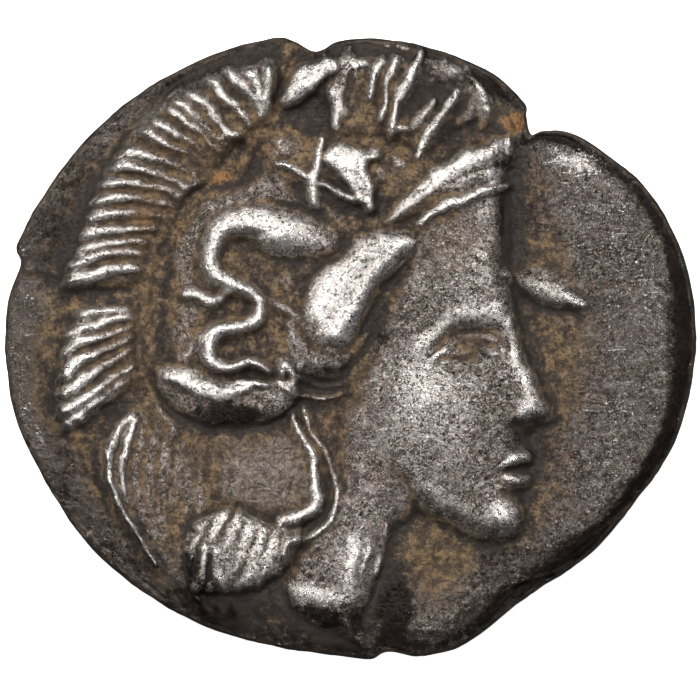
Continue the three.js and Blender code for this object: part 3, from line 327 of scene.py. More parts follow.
# The reverse, seen from its own side: a bull that walks on a line, with a fish under it.
BULL = [
    (1, [(-15, 1.6, 6.6), (-6, 2, 6.2), (4, 3, 6.6), (12, 4.6, 7.6)]),
    (1, [(10, 5, 6.4), (17, 4.4, 5.4), (22, 1.4, 4)]),
    (0.9, [(20.6, 2.4, 3.8), (24, -1.2, 3), (26, -4.4, 2)]),
    (0.9, [(23, 4, 1), (26, 6, 0.9), (26.6, 9, 0.5)]),
    (0.8, [(-18, -1, 3.8), (-19, -6, 2.4), (-16.6, -10.6, 1.6), (-17.6, -16, 1.3), (-16, -17.4, 1.6)]),
    (0.7, [(-12, -2, 3.4), (-9.6, -7.4, 2.2), (-7.4, -11, 1.5), (-8, -16, 1.3), (-6.4, -17.4, 1.6)]),
    (0.7, [(9, -1, 3.4), (7.4, -7, 1.8), (9.6, -11.4, 1.4), (8.6, -16, 1.3), (10, -17.4, 1.6)]),
    (0.8, [(14, -1, 3.4), (17, -6.4, 1.8), (15.4, -11.4, 1.4), (17, -16, 1.3), (18.6, -17.4, 1.6)]),
    (0.6, [(-21, 4, 1), (-24.4, 5.4, 0.8), (-25.4, 0, 0.8), (-24, -6, 1.2)]),
    (0.5, [(-27, -19.8, 0.8), (0, -19.8, 0.8), (27, -19.8, 0.8)]),
    (0.7, [(-9, -25, 0.5), (-3, -25, 2.6), (4, -25, 2), (8, -25, 0.6), (10, -25, 1.8)]),
]
REVERSE_FIELD, REVERSE_SLOPE = 35.0, 3.0

# The fall of the obverse to its edge, in millimetres at the right and how much more at the left.
FALL_BREADTH = (0.34, 0.66)
FALL_DEPTH = (0.16, 0.14)
FULL_RIM = (9, 43, 12, 7)  # place and reach of the stretch where the crest fills the flan out to its rim
FULL_SHARE = 0.55
FOOT_SHARE = 0.3  # height of the foot that each stroke stands on
RELIEF_BLUR = 0.5  # in cells, as are the three distances over which high and low places are told apart
WEAR_BLURS = (16, 6, 2.2)
EDGE_RINGS, BARREL = 7, 0.7

# Seeded unevenness as (spread, cells, seed): the carving's drift, its broken strands and the field's grain.
DRIFT_ACROSS = [(0.15, 4, 1), (0.07, 1.5, 8)]
DRIFT_UP = [(0.15, 4, 2), (0.07, 1.5, 9)]
BROKEN = [(0.05, 1.6, 7), (0.08, 6, 10)]
GRAIN_MM = [(0.007, 8, 3), (0.006, 3.5, 4), (0.004, 1.6, 6)]

# Toning on the obverse, as (strength, x, y, reach across, reach down): ochre earth first, and then the places
# that are darker, calmer and brighter than the rest. The darker places hold painted shade as well as toning,
# and the brighter ones painted highlights as well as worn silver. The reaches are times a spread.
WIDE_SPREAD, SPREAD = 1.6, 1.5
OCHRE = [
    (0.9, -18, 24.4, 1.8, 1), (0.4, -19, 25, 5, 3), (1.2, -39, 6.6, 2.4, 1), (0.7, -37.5, -11.5, 3, 2.5),
    (2, 23.8, 32.8, 1.9, 1.5), (0.8, 23, 31.6, 3, 2), (1.1, 12.5, -31, 5, 5), (0.7, -28.4, 8, 1.8, 12),
    (0.8, -8.4, 40, 2.6, 4.6), (0.7, -8, 29, 8, 5), (0.6, 4, 33, 5, 6), (0.7, -16, 12, 5, 4),
    (0.6, -14, 4, 8, 4), (0.5, -14, -13, 10, 6), (0.4, -30, -34, 8, 5), (0.6, 2, 12, 3, 8),
    (0.5, -24, -12, 4, 6), (0.5, 16, 14, 5, 5), (0.5, -12, -40, 8, 3), (0.8, 8, 24, 5, 6),
    (0.6, -20, 29, 7, 5), (0.6, -30, 20, 4, 6), (0.6, 15, 32, 6, 5), (0.5, 3, -4, 5, 6), (0.5, -33, 2, 3, 8),
    (0.5, 30, 0, 8, 10), (0.4, 26, -24, 6, 6), (-0.9, 15, 26, 5, 2.4), (0.9, -24.8, -25, 1.4, 6),
    (0.6, -20.4, -17, 3, 4), (0.6, 27, 14, 5, 3), (0.7, -24.6, 8, 2, 10),
]
# Darker places: dark toning, and painted shadow on the flanks under the rolls, under the lobe and along the
# right rim.
DARK_AND_SHADE = [
    (-0.2, -46, -2, 4, 12), (0.7, -42, 24, 6, 12), (0.8, -26, 40, 12, 4), (0.7, -34, -30, 10, 7),
    (1, 7, -36, 3, 8), (0.7, 24, 18, 4, 12), (0.9, 24, -14, 6, 7), (0.8, 28, -28, 8, 6),
    (1, -18, -10.5, 9, 3.6), (1, 21.6, 27.6, 2.6, 1.8), (1, -13, -38, 14, 5), (0.55, -5, -4.4, 5, 3.4),
    (0.6, 6, 2, 4, 5), (0.5, -3, -2, 6, 2.2), (0.7, 3.6, 3, 2, 3.4), (0.8, 22.4, 17, 2, 8),
    (0.35, -25, 6, 3, 14), (0.5, -41, -19, 3, 5), (0.6, -22.8, -28.4, 1.4, 3.4), (0.8, 17, -33, 9, 6),
    (0.5, -25, -22, 4, 10), (0.5, 30, 8, 6, 14), (0.7, -2, 22, 9, 2.4), (0.6, -6, 34, 4, 5),
    (0.9, 14, 36, 7, 5), (0.5, -14, 27, 4, 4), (0.4, 44, -4, 5, 20), (1.2, -21, -32.4, 3, 3.4),
    (1, -1, -38.4, 5, 2.6), (0.6, 3.6, -35, 1.6, 3), (1, -17, -9, 8, 1.8), (-1.2, 8, 43.8, 4, 1.2),
    (-1.2, 15.4, 41, 3, 1.4), (0.9, 46.6, 2, 1.8, 16), (0.8, 36, -28, 7, 2.4), (1, 6.4, -38, 2, 5),
]
CALM = [  # where the toning is even and smooth
    (1, -12, -17, 7, 6), (0.9, -44, 0, 5, 16), (0.9, -40, 24, 5, 8), (0.9, -40, -20, 6, 8),
    (0.35, 40, 2, 6, 16), (0.5, 27, 20, 4, 8), (0.8, -28, -36, 8, 4), (0.7, -28, 36, 6, 4),
    (0.5, 14, 14, 6, 5), (0.6, 12, -34, 8, 6),
]
ROOTS = [  # the earth along the roots of the three tufts: strength, then (x, y, half-width)
    (0.55, [(-11.4, 34.4, 3), (-17, 31, 4), (-22, 27.4, 4.6), (-26.4, 23.6, 4.6), (-29.4, 19, 4.6),
        (-31.4, 14, 4.6), (-32.6, 9.4, 4)]),
    (0.55, [(-32, 6.4, 3), (-32.4, 2.4, 4), (-33, -2, 4), (-34, -6, 3)]),
    (0.55, [(-28.6, -9, 3.6), (-29.4, -15, 4), (-28.6, -21, 4), (-26.6, -28, 3)]),
    (0.4, [(-12.6, 30.8, 1.4), (-14.6, 28.6, 1.6), (-17, 25.8, 1.8), (-21, 23, 1.8), (-25.4, 18, 1.6),
        (-27.8, 12, 1.6), (-28.8, 6, 1.6), (-29.2, 0, 1.6), (-28.6, -5, 1.4)]),
]
# Brighter places: worn silver, and painted highlights and glints on the lobe, the roll, the neck and the
# upper rim. A negative strength lessens the wear.
BRIGHT_AND_HIGHLIGHT = [
    (0.9, -1, 8, 5.6, 8), (0.5, -13, 17, 8, 3.4), (0.4, 8, -5, 8, 10), (0.8, -13.6, -27.6, 4.6, 3.6),
    (0.9, 0.6, -29, 3.4, 4.4), (1, -4.6, -34.8, 5, 1.8), (-0.5, -6, -29.4, 2.6, 3), (0.2, 12, 25.6, 6, 3),
    (-0.3, 16, 24, 4, 1.6), (1.4, 7, 43.4, 3.4, 0.8), (1.4, 12.6, 41.6, 2.6, 0.8), (1.6, 15.6, 40.4, 1.6, 1),
    (1.2, 18.6, 37, 1, 2.6), (1.3, 34, 27.4, 6, 2), (0.25, 14, 12, 8, 7), (0.3, -35, 18, 5, 14),
    (0.3, -40, -4, 4, 8), (0.4, -1, 27.6, 3.4, 2), (-0.6, 2.6, 22.4, 2, 2.6), (0.35, -5, 40, 4, 3),
    (0.3, -12, -17, 7, 6), (0.35, -45, -3, 4, 12), (0.15, 33, 24, 9, 5), (0.2, -34, -18, 3, 8),
    (0.3, -18, 34, 9, 5), (0.05, 10, 38, 10, 4), (0.2, 18, -10, 8, 10), (0.2, 43, 6, 5, 14),
    (0.25, -22, -4, 7, 3), (-0.6, 20.8, 16, 2.4, 7), (-0.5, -3, -1.6, 6, 2.4), (-0.6, 4.6, 4, 2, 4),
    (-0.4, 21.8, 28, 2.4, 2), (-0.5, 18.6, -24, 4, 3), (0.8, 28, 9, 3, 1.6), (-0.5, -21.4, -32, 2.6, 4),
    (0.5, 9, -3, 5, 6), (-0.5, -17, -8.6, 7, 1.8),
]

# Colours inside the finishes, besides those that a user may change.
TONED_DEEP = (0.13, 0.107, 0.09, 1)
TONED_PALE = (0.23, 0.19, 0.168, 1)
MOTTLE_PALE = (0.46, 0.43, 0.41, 1)
MOTTLE_DEEP = (0.05, 0.042, 0.036, 1)
GRAIN_DEEP = (0.04, 0.032, 0.028, 1)
SPECKLE_PALE = (0.62, 0.59, 0.57, 1)
SPECKLE_DEEP = (0.05, 0.04, 0.034, 1)
FIELD_DEEP = (0.045, 0.038, 0.034, 1)
SILVER_DULL = (0.55, 0.535, 0.52, 1)
EARTH_DEEP = (0.05, 0.031, 0.016, 1)
# Near-black: dirt, and painted shade in the hollows and on shadowed flanks.
SOOT_AND_SHADE = (0.018, 0.014, 0.013, 1)
PIT = (0.02, 0.016, 0.013, 1)
FLOOR_GRAIN = (0.88, 0.88, 0.88, 1)
BUMP_DEPTH = 0.000038
FLOOR_GLOW = 0.94

# The stage: each light's azimuth and elevation in degrees, breadth in metres, power in watts and colour.
LIGHTS = [
    ("key", 128, 62, 0.055, 0.315, (1.0, 0.955, 0.9)),
    ("low_left", 140, 36, 0.05, 0.06, (1.0, 0.98, 0.95)),
    ("top", 60, 40, 0.04, 0.1, (1.0, 0.98, 0.96)),
    ("right", -25, 38, 0.04, 0.05, (0.92, 0.93, 1.0)),
]
LIGHTS_FAR, LIGHTS_AIM = 0.15, 0.7  # metres away, and the share of the coin's height that they are aimed at
WORLD_COLOUR, WORLD_STRENGTH = (1.0, 0.97, 0.93, 1), 0.038
FLOOR_HALF = 0.25
CAMERA_HEIGHT, SENSOR = 0.25, 36
PICTURE_UNITS, PICTURE_AT = 100, 0.6  # the picture is so many units wide at this share of the coin's height
RELIEF = 0.00066
MM = 1000.0  # millimetres in a metre


def length(name, description, default):
    """A length in metres that a user may change."""
    return bpy.props.FloatProperty(
        name=name, description=description, default=default, unit="LENGTH", precision=5)


def colour(name, description, default):
    """A colour that a user may change."""
    return bpy.props.FloatVectorProperty(
        name=name, description=description, subtype="COLOR", size=4, default=default, min=0, max=1)


class CoinSizes(bpy.types.PropertyGroup):
    """Sizes of the coin that a user may change."""

    grid: bpy.props.IntProperty(
        name="Grid", description="Cells across the obverse, a multiple of 3", default=285, min=96, max=285,
        step=3)
    relief: length("Relief", "Height of the carving over the field, in metres", RELIEF)
    thickness: length("Thickness", "Height of the obverse field over the surface", 0.0010)
    edge_round: length("Edge bulge", "How far the edge bulges past the faces", 0.00014)
    reverse_sink: length("Reverse depth", "Depth of the reverse field", 0.00017)
    reverse_relief: length("Reverse relief", "Height of the bull over its field", 0.00016)


class CoinLooks(bpy.types.PropertyGroup):
    """Colours of the coin and the stage."""

    silver: colour("Worn silver", "Colour of the rubbed high places", (0.8, 0.775, 0.755, 1))
    toned: colour("Toned silver", "Colour of the toned surface", (0.19, 0.155, 0.127, 1))
    earth: colour("Earth", "Colour of the deposit in the recesses", (0.18, 0.118, 0.057, 1))
    rust: colour("Rust", "Colour of the deepest deposit", (0.23, 0.105, 0.032, 1))
    floor: colour("Floor", "Colour of the floor", (0.9, 0.9, 0.9, 1))


def smooth(points, closed=False, steps=6):
    """Catmull-Rom curve through the points: each span is the cubic whose end slopes are half the difference
    of the points on either side."""
    p = np.asarray(points, float)
    around = np.concatenate([p[-1:], p, p[:2]]) if closed else np.concatenate([p[:1], p, p[-1:]])
    p0, p1, p2, p3 = (around[i:len(around) - 3 + i, None, :] for i in range(4))
    t = np.linspace(0, 1, steps, endpoint=False)[None, :, None]
    curve = p1 + 0.5 * t * (p2 - p0 + t * (2 * p0 - 5 * p1 + 4 * p2 - p3 + t * (3 * (p1 - p2) + p3 - p0)))
    curve = curve.reshape(-1, p.shape[1])
    return curve if closed else np.vstack([curve, p[-1:]])


def blend(low, high, value):
    """0 up to low, 1 from high, and the cubic 3t^2 - 2t^3 between them."""
    t = np.clip((value - low) / (high - low), 0, 1)
    return t * t * (3 - 2 * t)


def near(line, grow, x, y):
    """Indices of the points inside the line's box, grown on all sides."""
    low, high = line[:, :2].min(0) - grow, line[:, :2].max(0) + grow
    return np.flatnonzero((x > low[0]) & (x < high[0]) & (y > low[1]) & (y < high[1]))


def along(px, py, ax, ay, bx, by):
    """How far along the span from a to b each point is, as a share, and how far away from it."""
    dx, dy = bx - ax, by - ay
    t = np.clip(((px - ax) * dx + (py - ay) * dy) / max(dx * dx + dy * dy, 1e-9), 0, 1)
    return t, np.hypot(px - ax - t * dx, py - ay - t * dy)


SECTIONS = {
    "round": lambda r: np.sqrt(np.clip(1 - r * r, 0, 1)),
    "sloped": lambda r: np.cos(np.clip(r, 0, 1) * math.pi / 2),
    "soft": lambda r: np.clip(1 - r * r, 0, 1) ** 2,
}


def stroke(points, x, y, section="round"):
    """A tube laid along a curve: its height, each point's fourth number or 1, on the curve, and 0 at its
    half-width, each point's third number."""
    line = smooth([p if len(p) == 4 else (*p, 1) for p in points])
    made = np.zeros(x.shape)
    at = near(line, line[:, 2].max(), x, y)
    px, py = x[at], y[at]
    for (ax, ay, aw, ah), (bx, by, bw, bh) in zip(line[:-1], line[1:]):
        t, away = along(px, py, ax, ay, bx, by)
        away = away / np.maximum(aw + t * (bw - aw), 0.05)
        made[at] = np.maximum(made[at], (ah + t * (bh - ah)) * SECTIONS[section](away))
    return made


def strokes(rows, x, y, section="round", grow=0.0):
    """The highest of many strokes at each point, each times its own height and with a low wide foot."""
    made = np.zeros(x.shape)
    for height, points in rows:
        wide = [(px, py, half + grow, *high) for px, py, half, *high in points]
        foot = [(px, py, 2 * half + 0.5, *high) for px, py, half, *high in points]
        made = np.maximum(made, height * stroke(wide, x, y, section))
        made = np.maximum(made, FOOT_SHARE * height * stroke(foot, x, y, "soft"))
    return made


def strand(points, half, inner=0.4):
    """Gives a strand of hair its half-width and height: broad and high over its outer half, and narrower and
    sunk to the share called inner at its root."""
    t = np.linspace(0, 1, len(points))
    widths = half * np.interp(t, [0, 0.2, 0.5, 1], [0.7, 1, 0.9, 0.5])
    heights = np.interp(t, [0, 0.15, 0.45, 0.75, 1], [0.7, 1, 0.92, 0.65, inner])
    return [(*p, w, h) for p, w, h in zip(points, widths, heights)]


def plateau(points, shoulder, x, y, section="sloped"):
    """A raised plate: 0 on its outline, rising over the shoulder's breadth to 1 further in."""
    line = smooth(points, closed=True)
    made = np.zeros(x.shape)
    at = near(line, 0, x, y)
    px, py = x[at], y[at]
    depth = np.full(at.shape, 99.0)
    inside = np.zeros(at.shape, bool)
    for (ax, ay), (bx, by) in zip(line, np.roll(line, -1, axis=0)):
        depth = np.minimum(depth, along(px, py, ax, ay, bx, by)[1])
        if by != ay:
            inside ^= ((ay > py) != (by > py)) & (px < ax + (py - ay) * (bx - ax) / (by - ay))
    made[at] = np.where(inside, SECTIONS[section](1 - np.clip(depth / shoulder, 0, 1)), 0)
    return made


def swells(rows, spread, x, y):
    """The sum of round humps, each with its strength and with its reaches times the spread."""
    return sum(s * swell(cx, cy, rx * spread, ry * spread, x, y) for s, cx, cy, rx, ry in rows)


def swell(cx, cy, reach_x, reach_y, x, y, turn=0.0):
    """A round hump: (1 - r^2)^2, with r the distance from the middle over its reach."""
    c, s = math.cos(math.radians(turn)), math.sin(math.radians(turn))
    dx, dy = x - cx, y - cy
    return SECTIONS["soft"](np.hypot((dx * c + dy * s) / reach_x, (dy * c - dx * s) / reach_y))


def blur(field, cells):
    """Gaussian mean over so many cells of a square grid, first along one way and then along the other."""
    reach = max(int(3 * cells), 1)
    weights = np.exp(-0.5 * (np.arange(-reach, reach + 1) / cells) ** 2)
    weights /= weights.sum()
    for axis in (0, 1):
        padded = np.pad(field, [(reach, reach) if a == axis else (0, 0) for a in (0, 1)], mode="edge")
        length = field.shape[axis]
        field = sum(w * np.take(padded, np.arange(k, k + length), axis=axis) for k, w in enumerate(weights))
    return field


def unevenness(shape, layers, level=0.0):
    """The level plus layers of seeded smooth noise: white noise, blurred over so many cells, with the layer's
    spread about 0."""
    for spread, cells, seed in layers:
        noise = blur(np.random.default_rng(seed).normal(size=shape), cells)
        level = level + spread * (noise / noise.std())
    return level


def face_relief(x, y):
    """The head's plate and what is carved on it, from places that are shares of the face's height."""
    tall = HAIRLINE - CHIN

    def place(ahead, down):
        return FACE_FRONT + ahead * tall, HAIRLINE - down * tall

    profile = [place(*p) for p in FACE_PROFILE]
    plate = 0.46 * plateau(profile, 4.2, x, y) * (0.9 + 0.1 * blend(-3, 13, x))
    plate += 0.24 * plateau(profile, 15, x, y, "round") * blend(-6, 12, x)
    carved = np.zeros(x.shape)
    for height, ahead, down, reach_x, reach_y, turn in FACE_SWELLS:
        carved += height * swell(*place(ahead, down), reach_x * tall, reach_y * tall, x, y, turn)
    for height, section, points in FACE_STROKES:
        line = [(*place(ahead, down), half * tall) for ahead, down, half in points]
        carved += height * stroke(line, x, y, section)
    return plate, np.minimum(plate / 0.3, 1) * carved


def obverse_relief(x, y, ragged):
    """The obverse carving as a share of the relief: the highest of the large forms, plus what lies on them.
    The hair and the small figure are times ragged, a field about 1, since they are broken by wear."""
    plate, face = face_relief(x, y)
    form = np.maximum.reduce([
        plate, *[height * plateau(line, rise, x, y, section) for height, rise, section, line in PLATES]])
    hair = [(0.4, strand(smooth(p, steps=3), 1.45)) for p in BACK_STRANDS]
    hair += [(0.4, strand(smooth(p, steps=3), 1.5)) for p in MIDDLE_STRANDS]
    hair += [(height, strand(p, 1, 0.5)) for height, p in zip(LOWER_HEIGHTS, LOWER_STRANDS)]
    hair += [(0.1, strand(p, 1, 0.8)) for p in HANGING_LOCKS]
    form += ragged * strokes(hair, x, y, "sloped")
    form += 0.74 * ragged * strokes(FRONT_CREST, x, y, "sloped", 0.4)
    form += 0.2 * strokes(FRONT_CREST, x, y, "soft", 1.2)
    form += 0.42 * plateau(LEAF, 1, x, y, "round") + 0.2 * plateau(CREST_KNOB, 1.3, x, y)
    form += 0.7 * strokes(CREST_RIDGE, x, y, "sloped", 0.4)
    tail = [(px, py, 1.2 * half, min(0.2 * k + 0.2, 1)) for k, (px, py, half) in enumerate(TAIL)]
    form += 0.5 * stroke(tail, x, y, "sloped") + 0.05 * stroke(TAIL_SHOULDER, x, y, "soft")
    form += ragged * strokes(CREATURE, x, y, "sloped", 0.3)
    form += 0.42 * ragged * plateau(TORSO, 0.9, x, y, "round")
    form += ragged * strokes(GUARD_RIM, x, y, "round")
    form += strokes(PIPING, x, y, "sloped", 0.15)
    form -= strokes([(deep, strand(p, 0.5, 0.5)) for deep, p in ROLL_GROOVES], x, y, "sloped")
    form += strokes(NECK_LOCKS, x, y, "soft", 0.2)
    form += strokes(EAR, x, y, "sloped", 0.1)
    form += strokes(TEMPLE_HAIR, x, y, "soft", 0.6)
    form += face
    form += 0.34 * plateau(VISOR, 2.1, x, y) + 0.06 * stroke(VISOR_RIDGE, x, y, "soft")
    form += 0.26 * stroke(VISOR_LOWER, x, y, "sloped")
    lobe = plateau(TEMPLE_LOBE, 3.3, x, y)
    form = np.where(lobe > 0, np.maximum(form, 0.42 + 0.5 * lobe), form)
    form += strokes(FIELD_FLAWS, x, y, "soft") - strokes(FIELD_CUTS, x, y, "soft", 0.2)
    return np.where(form > TOP_FROM, TOP_FROM + (form - TOP_FROM) * TOP_SHARE, form)


def reverse_relief(x, y):
    """The reverse as two shares: how far its field is sunk, and the bull that stands on it, mirrored so that
    it reads from its own side."""
    sink = blend(0, REVERSE_SLOPE, REVERSE_FIELD - np.hypot(x, y))
    return sink, sink * strokes(BULL, -x, y, "round", 0.2)


def square_to_flan(cells, inset, reach):
    """Lays a square grid over the flan: (u, v) goes to (u sqrt(1 - v^2/2), v sqrt(1 - u^2/2)) on the unit
    disc, and its distance from the middle is then stretched to the outline's."""
    u, v = np.meshgrid(np.linspace(-1, 1, cells + 1), np.linspace(-1, 1, cells + 1))
    dx, dy = u * np.sqrt(1 - v * v / 2), v * np.sqrt(1 - u * u / 2)
    angle, share = np.arctan2(dy, dx), np.hypot(dx, dy)
    rim = reach(angle) - inset
    return share * rim * np.cos(angle), share * rim * np.sin(angle), angle, (1 - share) * rim


def border(cells):
    """Indices of the grid's border points, counter-clockwise from the lower left."""
    side = cells + 1
    k = np.arange(cells)
    return np.concatenate([k, k * side + cells, cells * side + cells - k, (cells - k) * side])


def quads(cells):
    """The faces of a square grid of cells, counter-clockwise seen from above."""
    side = cells + 1
    low = (np.arange(cells)[:, None] * side + np.arange(cells)).ravel()
    return np.stack([low, low + 1, low + side + 1, low + side], axis=1)


def flan():
    """The flan, from its box and outline: the outline's reach at each angle by interpolation along its smooth
    curve, then a grid unit in metres, the outline's middle and the height of the coin over all."""
    low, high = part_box("coin")
    line = smooth(OUTLINE, closed=True, steps=8)
    angle, far = np.arctan2(line[:, 1], line[:, 0]), np.hypot(line[:, 0], line[:, 1])
    order = np.argsort(angle)
    unit = (high[0] - low[0]) / np.ptp(line[:, 0])
    middle = (line.max(0) + line.min(0)) / 2
    return lambda a: np.interp(a, angle[order], far[order], period=2 * math.pi), unit, middle, high[2]


def obverse(sizes, inset, reach, unit):
    """The obverse as a square grid: its points, the angle of each about the middle, and the toning with its
    painted shade and highlights.
    """
    x, y, angle, inward = square_to_flan(sizes.grid, inset, reach)
    moved_x = (x + unevenness(x.shape, DRIFT_ACROSS)).ravel()
    moved_y = (y + unevenness(x.shape, DRIFT_UP)).ravel()
    ragged = unevenness(x.shape, BROKEN, 1.0).ravel()
    carved = blur(obverse_relief(moved_x, moved_y, ragged).reshape(x.shape), RELIEF_BLUR)

    left = (1 - np.cos(angle)) / 2
    inward_mm = inward * unit * MM
    breadth = FALL_BREADTH[0] + FALL_BREADTH[1] * left
    depth = (FALL_DEPTH[0] + FALL_DEPTH[1] * left) / MM
    sunk = depth * (1 - SECTIONS["sloped"](1 - np.clip(inward_mm / breadth, 0, 1)))
    sunk *= 1 - FULL_SHARE * swell(*FULL_RIM, x, y)
    rough = unevenness(x.shape, GRAIN_MM) * (1 - 0.8 * blend(0.45, 0.65, carved))
    z = sizes.thickness + sizes.relief * carved - sunk + rough / MM * sizes.relief / RELIEF

    wide, local, fine = (carved - blur(carved, over) for over in WEAR_BLURS)
    # Painted shade: a near-black band along the right edge, where the flan turns away from the lights, and a
    # fainter one over the left fall.
    rim = 1.5 * (1 - left) * (1 - blend(0.05, 0.32, inward_mm))
    rim += 0.25 * left * (1 - blend(0.3, 1.2, inward_mm))
    roots = strokes(ROOTS, x.ravel(), y.ravel(), "soft").reshape(x.shape)
    return x, y, z, angle, {
        "wear": blend(0.0, 0.16, local) * 0.8 + blend(0.0, 0.06, fine) * 0.35 + blend(0.05, 0.3, wide) * 0.3,
        # recess: how far a place lies under its surroundings. It lays the earth in the hollows and also
        # painted shade there.
        "recess": blend(0.0, 0.13, -wide) * 0.6 + blend(0.0, 0.1, -local) * 0.8
        + blend(0.0, 0.04, -fine) * 0.5,
        "height": carved,
        "ochre": swells(OCHRE, WIDE_SPREAD, x, y) + roots,
        # The brighter places hold painted highlights besides worn silver, and the darker ones painted shade
        # besides toning.
        "bright_and_highlight": swells(BRIGHT_AND_HIGHLIGHT, SPREAD, x, y),
        "dark_and_shade": rim + swells(DARK_AND_SHADE, SPREAD, x, y),
        "calm": swells(CALM, WIDE_SPREAD, x, y),
    }


def coin_surface(sizes):
    """Every point of the coin with its toning, painted shade and painted highlights. The obverse and the
    reverse are square grids, and the edge is a barrel between their borders: out by the bulge times
    sin(a)^0.7 and down with cos(a), for a from 0 to pi."""
    reach, unit, middle, _ = flan()
    cells, inset = sizes.grid, sizes.edge_round / unit
    x, y, z, angle, tones = obverse(sizes, inset, reach, unit)

    back = cells // 3
    bx, by, _, _ = square_to_flan(back, inset, reach)
    sink, bull = reverse_relief(bx.ravel(), by.ravel())
    bz = sizes.reverse_sink * sink - sizes.reverse_relief * bull

    ring = border(cells)
    turn = np.linspace(0, math.pi, EDGE_RINGS + 2)[1:-1, None]
    rim_angle = angle.ravel()[ring]
    out = reach(rim_angle) - inset + inset * np.sin(turn) ** BARREL
    wobble = 0.35 * np.sin(rim_angle * 23 + 2 * turn) * np.sin(rim_angle * 7 + turn) * np.sin(turn)
    out = out - inset * 0.4 * np.abs(wobble)
    ex, ey = out * np.cos(rim_angle), out * np.sin(rim_angle)
    ez = z.ravel()[ring] * (1 + np.cos(turn)) / 2

    def points(px, py, pz):
        px, py = (px.ravel() - middle[0]) * unit, (py.ravel() - middle[1]) * unit
        return np.stack([px, py, pz.ravel()], axis=1)

    verts = np.concatenate([points(x, y, z), points(ex, ey, ez), points(bx, by, bz)])
    m = len(ring)
    back_start = x.size + EDGE_RINGS * m
    loops = [ring] + [x.size + k * m + np.arange(m) for k in range(EDGE_RINGS)]
    faces = [quads(cells)]
    for upper, lower in zip(loops[:-1], loops[1:]):
        faces.append(np.stack([upper, lower, np.roll(lower, -1), np.roll(upper, -1)], axis=1))
    faces.append(back_start + quads(back)[:, ::-1])

    # Each of the reverse's cells meets three spans of the edge, with four triangles.
    last = loops[-1].reshape(-1, 3)
    inner = back_start + border(back)
    next_inner, after = np.roll(inner, -1), np.roll(last[:, 0], -1)
    triangles = [np.stack(corners, axis=1) for corners in (
        (last[:, 0], inner, last[:, 1]),
        (last[:, 1], inner, next_inner),
        (last[:, 1], next_inner, last[:, 2]),
        (last[:, 2], next_inner, after),
    )]

    # The edge: a little wear on its bulge, and darkened all round as painted shade.
    edge_tones = {
        "wear": 0.25 * np.repeat(np.sin(turn) ** 0.5, m), "recess": 0.3, "height": 0, "ochre": 0.15,
        "bright_and_highlight": 0, "dark_and_shade": 0.5, "calm": 0.5,
    }
    back_tones = {
        "wear": 0.6 * blend(0.04, 0.5, bull) + 0.06, "recess": 0.5 * blend(0.05, 0.5, sink * (1 - bull)),
        "height": 0.5 * bull, "ochre": 0.05, "bright_and_highlight": 0.1, "dark_and_shade": 0.2, "calm": 0.3,
    }
    values = {
        key: np.concatenate([
            tone.ravel(), np.broadcast_to(edge_tones[key], EDGE_RINGS * m),
            np.broadcast_to(back_tones[key], bx.size)])
        for key, tone in tones.items()
    }
    return verts, faces, triangles, values


def make_mesh(name, verts, quad_faces, tri_faces, values):
    """Puts whole arrays of points, faces and point values into a new mesh."""
    quad_faces, tri_faces = np.concatenate(quad_faces), np.concatenate(tri_faces)
    mesh = bpy.data.meshes.new(name)
    corners = np.concatenate([quad_faces.ravel(), tri_faces.ravel()]).astype(np.int32)
    starts = np.concatenate([
        4 * np.arange(len(quad_faces)),
        4 * len(quad_faces) + 3 * np.arange(len(tri_faces)),
    ]).astype(np.int32)
    mesh.vertices.add(len(verts))
    mesh.vertices.foreach_set("co", verts.astype(np.float32).ravel())
    mesh.loops.add(len(corners))
    mesh.loops.foreach_set("vertex_index", corners)
    mesh.polygons.add(len(starts))
    mesh.polygons.foreach_set("loop_start", starts)
    for key, value in values.items():
        layer = mesh.attributes.new(key, "FLOAT", "POINT")
        layer.data.foreach_set("value", np.clip(value, -1, 2).astype(np.float32))
    mesh.update(calc_edges=True)
    mesh.validate()
    mesh.shade_smooth()
    piece = bpy.data.objects.new(name, mesh)
    bpy.context.scene.collection.objects.link(piece)
    return piece


